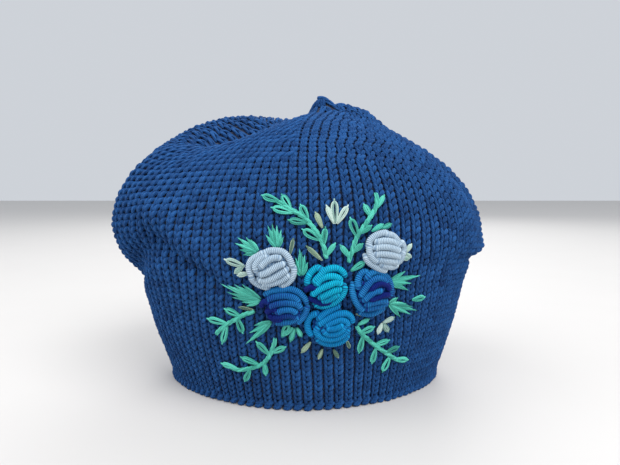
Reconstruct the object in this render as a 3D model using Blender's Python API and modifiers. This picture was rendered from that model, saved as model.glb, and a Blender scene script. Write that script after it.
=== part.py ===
"""Hand-knitted winter hat with an embroidered bouquet on its front, standing on its rim.

Metres, +Z up, the front faces -Y. The origin is the middle of the footprint, on the surface
under the rim. The fabric is one function of a turn round the hat and a course up it. The
embroidery is modelled flat, in sizes across and up the bouquet, and then pressed on to the fabric.
"""

from collections import namedtuple
import math

import bmesh
import bpy
from mathutils import Vector
import numpy as np

# Sizes of the hat
RIM_WIDTH = 0.176
RIM_DEPTH = 0.118
BELLY_WIDTH = 0.244
BELLY_DEPTH = 0.166
HEIGHT = 0.180
WALL = 0.0045
TIP_CLOSING_RADIUS = 0.010
TIP_WALL_SHARE = 0.12

# Mesh steps: facets round the hat, rows up it, and the rows below the rim that its trim cuts off
FACETS_AROUND = 44
ROWS_UP = 24
HEM_ROWS = 1.0

# Sizes of the embroidery
BOUQUET_SPAN = 0.100
BOUQUET_ACROSS = 0.0026
BOUQUET_RISE = 0.0748
BULLION_RADIUS = 0.00155
STEM_RADIUS = 0.0008
LEAF_THICKNESS = 0.0014
SEAT_GAP = 0.0003
ROSE_PAD_SHARE = 0.66
ROSE_PAD_RISE = 0.0048
LEAF_ROOT = 0.0012
ARCH_FOOT_SHARE = 0.35

# Mesh steps of the embroidery
PAD_SIDES = 8
PAD_RINGS = 4
LEAF_SIDES = 4
LEAF_RINGS = 4
BULLION_POINTS = 4
STEM_POINTS = 5

# Solving for a place on the fabric
SOLVER_ROUNDS = 12
NUDGE = 0.001
LOWEST_GUESS = 0.02
HIGHEST_COURSE = 0.9
TINY = 1e-12
MERGE = 1e-6

Section = namedtuple(
    "Section",
    "course rim_hold left left_rise right right_rise front front_rise back back_rise squareness",
)
# A section is one course of knitting. rim_hold is how far the rim's size counts against the
# belly's. The reaches are shares of the half width or half depth there, and the rises of HEIGHT.
SECTIONS = (
    Section(0.00, 1.00, 1.000, 0.000, 1.000, 0.000, 1.010, 0.000, 0.985, 0.000, 1.80),
    Section(0.10, 0.80, 0.978, 0.105, 0.998, 0.105, 1.015, 0.108, 0.990, 0.105, 1.90),
    Section(0.20, 0.58, 0.966, 0.210, 0.990, 0.215, 1.015, 0.218, 1.000, 0.220, 2.00),
    Section(0.30, 0.38, 0.945, 0.310, 0.971, 0.310, 1.010, 0.330, 1.020, 0.335, 2.10),
    Section(0.38, 0.25, 0.941, 0.385, 0.967, 0.390, 1.013, 0.425, 1.035, 0.430, 2.15),
    Section(0.45, 0.10, 0.967, 0.460, 0.982, 0.455, 0.989, 0.510, 1.030, 0.520, 2.15),
    Section(0.52, 0.00, 0.980, 0.545, 0.978, 0.530, 0.955, 0.595, 1.010, 0.610, 2.15),
    Section(0.60, 0.00, 0.945, 0.650, 0.940, 0.620, 0.900, 0.690, 0.985, 0.715, 2.15),
    Section(0.70, 0.00, 0.800, 0.765, 0.815, 0.735, 0.790, 0.795, 0.900, 0.845, 2.10),
    Section(0.78, 0.00, 0.620, 0.820, 0.660, 0.820, 0.655, 0.860, 0.760, 0.920, 2.05),
    Section(0.86, 0.00, 0.430, 0.830, 0.460, 0.890, 0.470, 0.905, 0.560, 0.950, 2.00),
    Section(0.93, 0.00, 0.230, 0.845, 0.260, 0.935, 0.260, 0.935, 0.310, 0.935, 2.00),
    Section(0.97, 0.00, 0.100, 0.895, 0.120, 0.955, 0.110, 0.955, 0.130, 0.930, 2.00),
    Section(1.00, 0.00, 0.020, 1.000, 0.020, 1.000, 0.028, 1.000, 0.028, 1.000, 2.00),
)

Lean = namedtuple("Lean", "course across back")
# The middle of each course, as shares of the belly's half width and half depth.
LEANS = (
    Lean(0.00, -0.029, 0.000),
    Lean(0.52, -0.070, 0.036),
    Lean(0.80, -0.049, 0.012),
    Lean(1.00, 0.053, -0.145),
)

Fold = namedtuple("Fold", "name turn course turn_reach course_reach slant depth")
# Folds and lobes push the fabric out or in. turn is in degrees from the front towards +X, the
# course and its reach are shares of the courses, and depth is a share of HEIGHT.
FOLDS = (
    Fold("fold_under_left_lobe", -56, 0.43, 22, 0.045, 0.0034, -0.039),
    Fold("crown_dent", -80, 0.87, 36, 0.070, 0.0, -0.061),
    Fold("back_left_lobe", -128, 0.835, 36, 0.090, 0.0, 0.089),
    Fold("front_left_hollow", -38, 0.80, 20, 0.100, 0.0, -0.022),
    Fold("right_corner", 86, 0.475, 16, 0.030, 0.0, 0.022),
    Fold("right_pinch", 70, 0.435, 22, 0.022, 0.0, -0.017),
    Fold("right_valley", 68, 0.70, 7, 0.150, 0.0, -0.017),
    Fold("right_dimple", 38, 0.56, 12, 0.060, 0.0, -0.011),
    Fold("left_ridge", -62, 0.68, 7, 0.120, 0.0, 0.014),
)

Rose = namedtuple("Rose", "name across up half_width half_height colour bullions")
Bullion = namedtuple("Bullion", "from_across from_up to_across to_up bow lift")
# A rose's place and half sizes are hundredths of BOUQUET_SPAN, the place counted from the bouquet's
# middle. A bullion is one wrapped stitch. Its ends are shares of the rose's half width and half
# height, bow is how far its middle swings to the left of its own direction, as a share of its
# length, and lift is the height of its middle as a share of the rose's half width.
GREY = (0.42, 0.56, 0.70)
BLUE = (0.030, 0.120, 0.400)
TURQUOISE = (0.010, 0.270, 0.480)
SEA_BLUE = (0.008, 0.200, 0.480)
MINT = (0.080, 0.520, 0.420)
CREAM = (0.560, 0.720, 0.640)
YARN_BLUE = (0.016, 0.045, 0.140)

ROSES = (
    Rose("rose_upper_left", -22.0, 9.4, 12.2, 10.4, GREY, (
        Bullion(-0.50, -0.05, 0.46, 0.50, 0.05, 0.50),
        Bullion(-0.42, -0.25, 0.72, 0.22, 0.03, 0.52),
        Bullion(-0.28, -0.55, 0.80, -0.15, -0.05, 0.48),
        Bullion(-0.68, -0.15, -0.12, 0.60, 0.20, 0.42),
        Bullion(-0.85, 0.15, -0.30, -0.80, -0.28, 0.24),
        Bullion(-0.84, 0.05, 0.20, 0.84, 0.28, 0.26),
        Bullion(0.30, 0.84, 0.95, -0.15, 0.25, 0.26),
        Bullion(0.92, -0.22, -0.20, -0.86, 0.25, 0.24),
    )),
    Rose("rose_upper_right", 35.0, 17.0, 10.6, 10.2, GREY, (
        Bullion(-0.60, 0.40, 0.68, 0.05, 0.08, 0.50),
        Bullion(-0.62, 0.00, 0.68, -0.35, 0.04, 0.52),
        Bullion(-0.40, -0.45, 0.60, -0.70, 0.02, 0.44),
        Bullion(-0.85, 0.05, 0.10, 0.90, 0.28, 0.30),
        Bullion(0.15, 0.88, 0.88, -0.10, 0.28, 0.30),
        Bullion(-0.88, -0.02, 0.05, -0.90, -0.26, 0.26),
        Bullion(0.10, -0.92, 0.88, -0.20, -0.20, 0.26),
    )),
    Rose("rose_lower_left", -15.8, -11.4, 12.2, 9.8, BLUE, (
        Bullion(-0.66, 0.02, 0.62, 0.12, 0.12, 0.52),
        Bullion(-0.52, -0.38, 0.55, -0.25, 0.12, 0.50),
        Bullion(-0.70, 0.40, 0.45, 0.45, 0.10, 0.44),
        Bullion(-0.36, -0.80, 0.52, -0.55, 0.06, 0.36),
        Bullion(-0.90, 0.30, 0.70, 0.45, 0.24, 0.28),
        Bullion(0.72, 0.42, 0.60, -0.80, 0.22, 0.28),
        Bullion(-0.90, 0.22, -0.55, -0.65, -0.16, 0.24),
        Bullion(-0.60, -0.62, 0.45, -0.92, -0.14, 0.22),
    )),
    Rose("rose_middle", 5.8, 0.2, 10.5, 10.5, TURQUOISE, (
        Bullion(-0.60, 0.15, 0.50, 0.50, 0.10, 0.52),
        Bullion(-0.72, -0.25, 0.78, 0.22, 0.06, 0.54),
        Bullion(-0.40, -0.55, 0.55, -0.18, -0.10, 0.48),
        Bullion(-0.90, 0.15, -0.15, 0.88, 0.25, 0.32),
        Bullion(-0.10, 0.88, 0.90, 0.32, 0.20, 0.32),
        Bullion(0.90, 0.30, 0.68, -0.50, 0.18, 0.30),
        Bullion(-0.92, 0.10, -0.72, -0.60, -0.16, 0.28),
        Bullion(-0.74, -0.62, 0.66, -0.60, -0.22, 0.30),
    )),
    Rose("rose_bottom", 8.0, -22.8, 12.6, 11.2, SEA_BLUE, (
        Bullion(-0.12, 0.02, 0.55, 0.12, 0.20, 0.54),
        Bullion(-0.30, -0.22, 0.55, 0.00, -0.20, 0.52),
        Bullion(-0.40, 0.15, 0.62, 0.52, 0.20, 0.46),
        Bullion(-0.55, -0.40, 0.70, 0.05, -0.34, 0.42),
        Bullion(-0.92, -0.28, -0.58, 0.62, 0.16, 0.28),
        Bullion(-0.58, 0.60, 0.45, 0.88, 0.12, 0.30),
        Bullion(0.48, 0.84, 0.92, -0.10, 0.18, 0.28),
        Bullion(-0.88, -0.36, 0.30, -0.92, -0.20, 0.26),
        Bullion(0.32, -0.90, 0.92, -0.14, -0.18, 0.26),
    )),
    Rose("rose_right", 29.2, -5.2, 11.0, 12.2, BLUE, (
        Bullion(-0.40, -0.25, 0.40, 0.13, 0.10, 0.52),
        Bullion(0.00, 0.32, 0.82, 0.17, 0.10, 0.44),
        Bullion(-0.35, -0.44, 0.80, -0.20, -0.10, 0.46),
        Bullion(-0.55, -0.13, 0.25, 0.60, 0.22, 0.46),
        Bullion(-0.75, -0.13, -0.30, 0.82, 0.14, 0.36),
        Bullion(-0.32, 0.80, 0.86, 0.45, 0.20, 0.30),
        Bullion(0.88, 0.42, 0.86, -0.28, 0.10, 0.28),
        Bullion(-0.92, 0.35, -0.42, -0.74, -0.18, 0.28),
        Bullion(0.84, -0.30, -0.40, -0.80, 0.22, 0.28),
    )),
)

Spray = namedtuple("Spray", "name colour stem leaves")
Leaf = namedtuple("Leaf", "tip_across tip_up base_across base_up width")
# Stems and leaves, in hundredths of BOUQUET_SPAN from its middle
SPRAYS = (
    Spray("spray_top_left", MINT, ((-19, 43), (-13, 39), (-6, 35), (0, 28.5), (4, 21), (5.5, 14)), (
        Leaf(-27, 45.5, -18, 42.5, 3.0),
        Leaf(-17, 46.0, -12, 38.5, 3.4),
        Leaf(-22, 39.5, -11, 37.0, 3.4),
        Leaf(-7.5, 41.0, -3.5, 33.5, 3.2),
        Leaf(-13.5, 33.5, -4.0, 32.0, 3.0),
        Leaf(-6.5, 29.0, 2.5, 23.5, 3.8),
        Leaf(5.0, 30.0, 4.0, 20.5, 2.8),
        Leaf(10.0, 22.0, 5.0, 15.0, 2.2),
    )),
    Spray("spray_top_right", MINT, ((31.5, 47), (31, 40), (27, 33.5), (21, 25), (18, 16), (16.5, 12)), (
        Leaf(24.5, 41.0, 28.5, 34.5, 2.8),
        Leaf(35.5, 45.5, 31.5, 39.0, 2.4),
        Leaf(17.5, 34.5, 21.5, 24.5, 4.0),
        Leaf(28.5, 30.5, 22.0, 26.5, 2.6),
        Leaf(12.5, 21.0, 18.0, 14.0, 2.4),
        Leaf(24.0, 21.5, 18.5, 17.0, 2.4),
    )),
    Spray("spray_left", MINT, ((-31, -14.5), (-37, -16.5), (-43, -20), (-48.5, -24), (-53.5, -29)), (
        Leaf(-47.5, -13.5, -39.0, -17.5, 2.8),
        Leaf(-57.5, -20.0, -46.5, -22.0, 3.2),
        Leaf(-38.0, -27.0, -41.0, -18.0, 3.0),
        Leaf(-50.0, -34.5, -46.5, -22.0, 2.8),
    )),
    Spray("spray_bottom_left", MINT,
          ((-20.5, -29), (-22, -34), (-25, -41), (-29, -45.5), (-36, -48.5), (-43, -50), (-49, -47)), (
              Leaf(-31.0, -31.5, -24.0, -39.5, 3.0),
              Leaf(-15.5, -34.0, -23.0, -38.0, 3.0),
              Leaf(-40.0, -41.5, -30.0, -45.5, 3.0),
              Leaf(-51.5, -47.0, -42.0, -49.5, 3.0),
              Leaf(-26.5, -52.0, -27.0, -44.0, 2.6),
              Leaf(-38.5, -57.0, -35.0, -49.0, 2.6),
          )),
    Spray("spray_bottom_right", MINT,
          ((22.0, -22.5), (24, -27), (28, -31), (32, -35), (38, -40), (45, -46)), (
              Leaf(31.5, -24.0, 23.5, -27.5, 3.2),
              Leaf(23.5, -39.0, 25.5, -29.0, 2.8),
              Leaf(40.5, -33.0, 31.5, -35.5, 3.0),
              Leaf(31.0, -46.5, 33.0, -37.0, 2.8),
              Leaf(46.5, -38.0, 38.5, -41.0, 3.0),
              Leaf(37.5, -53.0, 41.5, -43.5, 4.0),
              Leaf(53.0, -48.0, 44.0, -46.0, 3.0),
          )),
    Spray("feather_top", MINT, (), (
        Leaf(-25.0, 27.0, -18.5, 20.5, 2.4),
        Leaf(-22.5, 32.0, -19.0, 21.0, 2.8),
        Leaf(-17.0, 30.0, -19.5, 20.5, 2.8),
    )),
    Spray("feather_upper_left", MINT, (), (
        Leaf(-39.5, 25.0, -32.0, 18.5, 2.8),
        Leaf(-41.0, 19.5, -31.5, 17.8, 3.2),
        Leaf(-35.0, 25.0, -31.5, 18.0, 2.6),
    )),
    Spray("feather_left", MINT, (), (
        Leaf(-49.0, 0.5, -32.0, -6.5, 3.4),
        Leaf(-40.0, 1.0, -31.5, -6.0, 3.2),
        Leaf(-46.5, -6.0, -31.0, -7.5, 3.4),
        Leaf(-39.5, -12.0, -31.0, -8.5, 2.8),
    )),
    Spray("feather_bottom_left", MINT, (), (
        Leaf(-37.0, -33.5, -24.0, -23.0, 3.2),
        Leaf(-33.5, -24.0, -23.5, -22.5, 2.8),
        Leaf(-28.5, -30.0, -23.5, -23.0, 2.6),
    )),
    Spray("feather_right", MINT, (), (
        Leaf(57.5, 4.0, 42.5, 0.5, 3.2),
        Leaf(52.5, -4.5, 42.5, -0.5, 3.0),
        Leaf(47.0, 7.5, 42.0, 0.5, 2.8),
    )),
    Spray("feather_lower_right", MINT, (), (
        Leaf(56.5, -17.0, 42.5, -11.5, 3.0),
        Leaf(49.5, -20.5, 42.0, -12.0, 3.0),
        Leaf(52.0, -9.5, 42.5, -11.0, 2.8),
    )),
    Spray("leaf_middle", MINT, (), (
        Leaf(-8.0, 19.5, -7.0, 7.5, 5.0),
    )),
    Spray("bud_top", CREAM, (), (
        Leaf(5.5, 40.5, 9.5, 31.5, 2.4),
        Leaf(9.5, 43.5, 10.0, 31.5, 3.6),
        Leaf(16.5, 40.5, 10.8, 31.5, 2.8),
    )),
    Spray("bud_left", CREAM, (), (
        Leaf(-46.0, 13.5, -35.6, 10.0, 3.6),
        Leaf(-41.0, 6.5, -36.5, 10.0, 3.0),
    )),
    Spray("bud_right", CREAM, (), (
        Leaf(50.0, 20.5, 46.8, 16.0, 2.4),
        Leaf(50.0, 13.5, 46.8, 15.8, 2.2),
    )),
    Spray("bud_lower_right", CREAM, (), (
        Leaf(33.5, -28.5, 35.8, -22.5, 2.6),
        Leaf(39.5, -28.0, 36.3, -22.5, 3.2),
        Leaf(42.5, -19.5, 36.0, -22.5, 2.6),
    )),
    Spray("leaves_bottom", MINT, (), (
        Leaf(-17.0, -27.5, -11.5, -23.0, 2.6),
        Leaf(-13.0, -31.0, -10.5, -23.0, 2.6),
        Leaf(-7.0, -28.0, -9.5, -23.0, 2.4),
    )),
)


def clear_scene():
    """Remove the objects that a new file starts with."""
    for item in list(bpy.data.objects):
        bpy.data.objects.remove(item, do_unlink=True)


def new_collection(name):
    """Make a collection under the scene."""
    collection = bpy.data.collections.new(name)
    bpy.context.scene.collection.children.link(collection)
    return collection


def finish(name, colour, roughness=0.85):
    """Make a cloth or thread material."""
    material = bpy.data.materials.new(name)
    material.use_nodes = True
    shader = material.node_tree.nodes["Principled BSDF"]
    shader.inputs["Base Color"].default_value = (*colour, 1.0)
    shader.inputs["Roughness"].default_value = roughness
    shader.inputs["Metallic"].default_value = 0.0
    return material


def read_track(at, knots, values):
    """Read a smooth curve through the rows of a table at the given courses."""
    at = np.asarray(at, float)
    knots = np.asarray(knots, float)
    values = np.asarray(values, float)
    slopes = np.gradient(values, knots)
    row = np.clip(np.searchsorted(knots, at, side="right") - 1, 0, len(knots) - 2)
    span = knots[row + 1] - knots[row]
    t = (at - knots[row]) / span
    start_part = (2 * t**3 - 3 * t**2 + 1) * values[row] + (t**3 - 2 * t**2 + t) * slopes[row] * span
    end_part = (3 * t**2 - 2 * t**3) * values[row + 1] + (t**3 - t**2) * slopes[row + 1] * span
    return start_part + end_part


def read_column(rows, column, at):
    """Read one named column of a table at the given courses."""
    return read_track(at, [row.course for row in rows], [getattr(row, column) for row in rows])


def smooth_fabric(turn, course):
    """Place the fabric's outer face before its folds, from a turn in radians and a course."""
    hold = read_column(SECTIONS, "rim_hold", course)
    half_width = (hold * RIM_WIDTH + (1 - hold) * BELLY_WIDTH) / 2
    half_depth = (hold * RIM_DEPTH + (1 - hold) * BELLY_DEPTH) / 2
    squareness = read_column(SECTIONS, "squareness", course)
    side, ahead = np.sin(turn), np.cos(turn)
    swell = (np.abs(side) ** squareness + np.abs(ahead) ** squareness) ** (-1 / squareness)
    to_side = np.where(
        side > 0,
        read_column(SECTIONS, "right", course),
        read_column(SECTIONS, "left", course),
    )
    to_front = np.where(
        ahead > 0,
        read_column(SECTIONS, "front", course),
        read_column(SECTIONS, "back", course),
    )
    side_rise = np.where(
        side > 0,
        read_column(SECTIONS, "right_rise", course),
        read_column(SECTIONS, "left_rise", course),
    )
    front_rise = np.where(
        ahead > 0,
        read_column(SECTIONS, "front_rise", course),
        read_column(SECTIONS, "back_rise", course),
    )
    x = read_column(LEANS, "across", course) * BELLY_WIDTH / 2 + to_side * half_width * side * swell
    y = read_column(LEANS, "back", course) * BELLY_DEPTH / 2 - to_front * half_depth * ahead * swell
    z = HEIGHT * (side_rise * side**2 + front_rise * ahead**2)
    return np.stack([x, y, z], axis=-1)


def outward(place, turn, course):
    """Give the unit normal, facing out, of a surface function."""
    along = place(turn + NUDGE, course) - place(turn - NUDGE, course)
    up = place(turn, np.minimum(course + NUDGE, 1)) - place(turn, np.maximum(course - NUDGE, 0))
    normal = np.cross(along, up)
    return normal / (np.linalg.norm(normal, axis=-1, keepdims=True) + TINY)


def fabric(turn, course):
    """Place the fabric's outer face, with its folds, dents and lobes."""
    turn, course = np.broadcast_arrays(np.asarray(turn, float), np.asarray(course, float))
    push = np.zeros_like(turn)
    for fold in FOLDS:
        offset = turn - math.radians(fold.turn)
        away = np.degrees(np.arctan2(np.sin(offset), np.cos(offset)))
        along = course - fold.course - fold.slant * away
        push = push + fold.depth * HEIGHT * np.exp(
            -((away / fold.turn_reach) ** 2) - (along / fold.course_reach) ** 2
        )
    return smooth_fabric(turn, course) + outward(smooth_fabric, turn, course) * push[..., None]


def find_on_front(across, up):
    """Find the turn and course where the front of the fabric has the given x and z."""
    turn = across / (BELLY_WIDTH / 2)
    course = np.clip(up / HEIGHT, LOWEST_GUESS, HIGHEST_COURSE)
    for _ in range(SOLVER_ROUNDS):
        here = fabric(turn, course)
        by_turn = (fabric(turn + NUDGE, course) - here) / NUDGE
        by_course = (fabric(turn, course + NUDGE) - here) / NUDGE
        miss_across, miss_up = across - here[..., 0], up - here[..., 2]
        span = by_turn[..., 0] * by_course[..., 2] - by_course[..., 0] * by_turn[..., 2]
        turn = turn + (miss_across * by_course[..., 2] - miss_up * by_course[..., 0]) / span
        course = course + (by_turn[..., 0] * miss_up - by_turn[..., 2] * miss_across) / span
        course = np.clip(course, 0.0, HIGHEST_COURSE)
    return turn, course


def press_on_front(flat):
    """Carry points modelled flat, as across, up and height, on to the fabric's front."""
    flat = np.asarray(flat, float)
    turn, course = find_on_front(BOUQUET_ACROSS + flat[:, 0], BOUQUET_RISE + flat[:, 1])
    return fabric(turn, course) + outward(fabric, turn, course) * flat[:, 2:3]


def new_object(name, mesh, collection):
    """Put a mesh in the scene as an object."""
    item = bpy.data.objects.new(name, mesh)
    collection.objects.link(item)
    return item


def hide_guide(item):
    """Keep a cutter or guide out of the model."""
    item.hide_render = True
    item.display_type = "WIRE"


def mesh_from(item):
    """Make a plain mesh of an object as its modifiers leave it."""
    evaluated = item.evaluated_get(bpy.context.evaluated_depsgraph_get())
    return bpy.data.meshes.new_from_object(evaluated)


def loft_fabric():
    """Loft the open outer face of the hat through its courses, closed at the tip."""
    turns = np.arange(FACETS_AROUND) * 2 * math.pi / FACETS_AROUND
    shell = bmesh.new()
    closing = shell.verts.layers.deform.verify()
    courses = np.arange(ROWS_UP + 1) / ROWS_UP
    points = [fabric(turns, course) for course in courses]
    points[0] = points[0] + (points[0] - points[1]) * HEM_ROWS
    rows = [[shell.verts.new(place) for place in ring] for ring in points]
    for lower, upper in zip(rows, rows[1:]):
        for j in range(FACETS_AROUND):
            after = (j + 1) % FACETS_AROUND
            shell.faces.new((lower[j], lower[after], upper[after], upper[j]))
    pole = shell.verts.new(fabric(turns, 1.0).mean(axis=0))
    for j in range(FACETS_AROUND):
        shell.faces.new((rows[-1][j], rows[-1][(j + 1) % FACETS_AROUND], pole))
    for row in rows:
        middle = sum((vert.co for vert in row), Vector()) / FACETS_AROUND
        for vert in row:
            vert[closing][0] = min(1.0, (vert.co - middle).length / TIP_CLOSING_RADIUS)
    pole[closing][0] = 0.0
    mesh = bpy.data.meshes.new("knitted_hat")
    shell.to_mesh(mesh)
    shell.free()
    return mesh


def knitted_hat(parts, cutters):
    """Build the knitted shell: one wall with its folds, and a rim trimmed flat."""
    hat = new_object("knitted_hat", loft_fabric(), parts)
    hat.vertex_groups.new(name="full_wall")
    wall = hat.modifiers.new("wall", "SOLIDIFY")
    wall.thickness = WALL
    wall.offset = -1.0
    wall.use_rim = True
    wall.vertex_group = "full_wall"
    wall.thickness_vertex_group = TIP_WALL_SHARE

    reach = 2 * max(BELLY_WIDTH, BELLY_DEPTH)
    block = bmesh.new()
    bmesh.ops.create_cube(block, size=1.0)
    bmesh.ops.scale(block, vec=(reach, reach, HEIGHT), verts=block.verts)
    bmesh.ops.translate(block, vec=(0.0, 0.0, -HEIGHT / 2), verts=block.verts)
    mesh = bpy.data.meshes.new("rim_trim")
    block.to_mesh(mesh)
    block.free()
    trim = new_object("rim_trim", mesh, cutters)
    hide_guide(trim)
    cut = hat.modifiers.new("flat_rim", "BOOLEAN")
    cut.operation = "DIFFERENCE"
    cut.solver = "EXACT"
    cut.object = trim
    hat.data.materials.append(finish("knitted_yarn_blue", YARN_BLUE, 0.95))
    return hat


def tube_mesh(points, radius, sides_step):
    """Make a closed round thread along points, from a bevelled curve."""
    curve = bpy.data.curves.new("thread", "CURVE")
    curve.dimensions = "3D"
    curve.bevel_depth = radius
    curve.bevel_resolution = sides_step
    curve.use_fill_caps = True
    line = curve.splines.new("POLY")
    line.points.add(len(points) - 1)
    for point, place in zip(line.points, points):
        point.co = (*place, 1.0)
    item = bpy.data.objects.new("thread", curve)
    bpy.context.scene.collection.objects.link(item)
    bpy.context.view_layer.update()
    mesh = mesh_from(item)
    bpy.data.objects.remove(item, do_unlink=True)
    tube = bmesh.new()
    tube.from_mesh(mesh)
    bmesh.ops.remove_doubles(tube, verts=tube.verts, dist=MERGE)
    bmesh.ops.recalc_face_normals(tube, faces=tube.faces)
    tube.to_mesh(mesh)
    tube.free()
    return mesh


def bullion_points(rose, bullion):
    """Run one bullion's middle line, bowed across the rose and arched over its pad."""
    size = BOUQUET_SPAN / 100
    half = np.array([rose.half_width, rose.half_height]) * size
    reach = 1 - BULLION_RADIUS / half
    start = np.array([bullion.from_across, bullion.from_up]) * half * reach
    end = np.array([bullion.to_across, bullion.to_up]) * half * reach
    way = end - start
    swing = np.array([-way[1], way[0]]) * bullion.bow
    centre = np.array([rose.across, rose.up]) * size
    foot = SEAT_GAP + BULLION_RADIUS
    top = max(bullion.lift * half[0], foot)
    points = []
    for t in np.linspace(0, 1, BULLION_POINTS):
        arch = math.sin(math.pi * t)
        flat = centre + start + way * t + swing * arch
        height = foot + (top - foot) * (ARCH_FOOT_SHARE + (1 - ARCH_FOOT_SHARE) * arch)
        points.append((flat[0], flat[1], height))
    return points


def joined_mesh(meshes, name):
    """Gather several closed meshes into one."""
    gathered = bmesh.new()
    for mesh in meshes:
        gathered.from_mesh(mesh)
    result = bpy.data.meshes.new(name)
    gathered.to_mesh(result)
    gathered.free()
    return result


def fuse_and_press(name, body, threads, parts):
    """Fuse flat shapes into one solid, then press it on to the front of the hat."""
    working = bpy.context.scene.collection
    base = new_object(name + "_flat", body, working)
    if threads:
        added = new_object(name + "_threads", joined_mesh(threads, name), working)
        union = base.modifiers.new("fuse", "BOOLEAN")
        union.operation = "UNION"
        union.solver = "EXACT"
        union.use_self = True
        union.object = added
    bpy.context.view_layer.update()
    mesh = mesh_from(base)
    mesh.name = name
    bpy.data.objects.remove(base, do_unlink=True)
    if threads:
        bpy.data.objects.remove(added, do_unlink=True)
    flat = np.array([vert.co[:] for vert in mesh.vertices])
    middle = (flat.min(axis=0) + flat.max(axis=0)) / 2
    middle[2] = 0.0
    place = press_on_front(middle[None, :])[0]
    for vert, point in zip(mesh.vertices, press_on_front(flat)):
        vert.co = point - place
    tidy = bmesh.new()
    tidy.from_mesh(mesh)
    bmesh.ops.triangulate(tidy, faces=tidy.faces)
    tidy.to_mesh(mesh)
    tidy.free()
    item = new_object(name, mesh, parts)
    item.location = place
    return item


def rose_pad(rose):
    """Make the low padded dome that a rose's bullions are worked over."""
    size = BOUQUET_SPAN / 100
    pad = bmesh.new()
    bmesh.ops.create_uvsphere(pad, u_segments=PAD_SIDES, v_segments=PAD_RINGS, radius=1.0)
    half_width = rose.half_width * size * ROSE_PAD_SHARE
    half_height = rose.half_height * size * ROSE_PAD_SHARE
    bmesh.ops.scale(pad, vec=(half_width, half_height, ROSE_PAD_RISE), verts=pad.verts)
    below = [vert for vert in pad.verts if vert.co.z < -MERGE]
    bmesh.ops.delete(pad, geom=below, context="VERTS")
    rim = [edge for edge in pad.edges if edge.is_boundary]
    bmesh.ops.holes_fill(pad, edges=rim)
    bmesh.ops.translate(
        pad,
        vec=(rose.across * size, rose.up * size, SEAT_GAP),
        verts=pad.verts,
    )
    bmesh.ops.recalc_face_normals(pad, faces=pad.faces)
    mesh = bpy.data.meshes.new(rose.name + "_pad")
    pad.to_mesh(mesh)
    pad.free()
    return mesh


def build_rose(rose, parts):
    """Build one rose: bullions fused over a padded dome."""
    threads = [tube_mesh(bullion_points(rose, bullion), BULLION_RADIUS, 1) for bullion in rose.bullions]
    item = fuse_and_press(rose.name, rose_pad(rose), threads, parts)
    item.data.materials.append(finish(rose.name + "_floss", rose.colour, 0.6))
    return item


def leaf_mesh(leaf):
    """Make one leaf stitch as a long, low body from its base to its tip."""
    size = BOUQUET_SPAN / 100
    tip = Vector((leaf.tip_across, leaf.tip_up, 0.0)) * size
    base = Vector((leaf.base_across, leaf.base_up, 0.0)) * size
    base -= (tip - base).normalized() * LEAF_ROOT
    way = tip - base
    body = bmesh.new()
    bmesh.ops.create_uvsphere(body, u_segments=LEAF_SIDES, v_segments=LEAF_RINGS, radius=0.5)
    bmesh.ops.scale(
        body,
        vec=(LEAF_THICKNESS, leaf.width * size, way.length),
        verts=body.verts,
    )
    lie_down = Vector((0.0, 0.0, 1.0)).rotation_difference(Vector((1.0, 0.0, 0.0))).to_matrix()
    bmesh.ops.rotate(body, cent=(0.0, 0.0, 0.0), matrix=lie_down, verts=body.verts)
    face_way = Vector((1.0, 0.0, 0.0)).rotation_difference(way.normalized()).to_matrix()
    bmesh.ops.rotate(body, cent=(0.0, 0.0, 0.0), matrix=face_way, verts=body.verts)
    middle = (tip + base) / 2
    middle.z = SEAT_GAP + LEAF_THICKNESS / 2
    bmesh.ops.translate(body, vec=middle, verts=body.verts)
    bmesh.ops.recalc_face_normals(body, faces=body.faces)
    mesh = bpy.data.meshes.new("leaf")
    body.to_mesh(mesh)
    body.free()
    return mesh


def stem_mesh(stem):
    """Run a stem smoothly through its points."""
    size = BOUQUET_SPAN / 100
    knots = np.linspace(0, 1, len(stem))
    at = np.linspace(0, 1, STEM_POINTS)
    across = read_track(at, knots, [place[0] for place in stem]) * size
    up = read_track(at, knots, [place[1] for place in stem]) * size
    height = SEAT_GAP + STEM_RADIUS
    return tube_mesh([(x, y, height) for x, y in zip(across, up)], STEM_RADIUS, 0)


def build_spray(spray, parts):
    """Build one spray, feather leaf or bud: its stem and leaves fused."""
    shapes = [leaf_mesh(leaf) for leaf in spray.leaves]
    if spray.stem:
        shapes.insert(0, stem_mesh(spray.stem))
    item = fuse_and_press(spray.name, shapes[0], shapes[1:], parts)
    item.data.materials.append(finish(spray.name + "_floss", spray.colour, 0.6))
    return item


def stand_on_origin(items):
    """Move the whole hat so that the middle of its footprint is the origin."""
    bpy.context.view_layer.update()
    corners = []
    for item in items:
        evaluated = item.evaluated_get(bpy.context.evaluated_depsgraph_get())
        corners += [item.matrix_world @ vert.co for vert in evaluated.data.vertices]
    low = Vector([min(corner[axis] for corner in corners) for axis in range(3)])
    high = Vector([max(corner[axis] for corner in corners) for axis in range(3)])
    shift = Vector((-(low.x + high.x) / 2, -(low.y + high.y) / 2, -low.z))
    for item in list(bpy.data.objects):
        item.location += shift
    bpy.context.view_layer.update()


def main():
    """Build the hat and its embroidery."""
    clear_scene()
    parts = new_collection("winter_hat")
    cutters = new_collection("cutters")
    items = [knitted_hat(parts, cutters)]
    items += [build_rose(rose, parts) for rose in ROSES]
    items += [build_spray(spray, parts) for spray in SPRAYS]
    stand_on_origin(items)


main()
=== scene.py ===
"""Looks of the hand-knitted winter hat: its stitches, its embroidery and its studio."""

from dataclasses import dataclass, field
from enum import Enum
import logging
import math
from typing import Callable, NamedTuple, Sequence

import bpy
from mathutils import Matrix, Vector
import numpy as np


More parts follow.
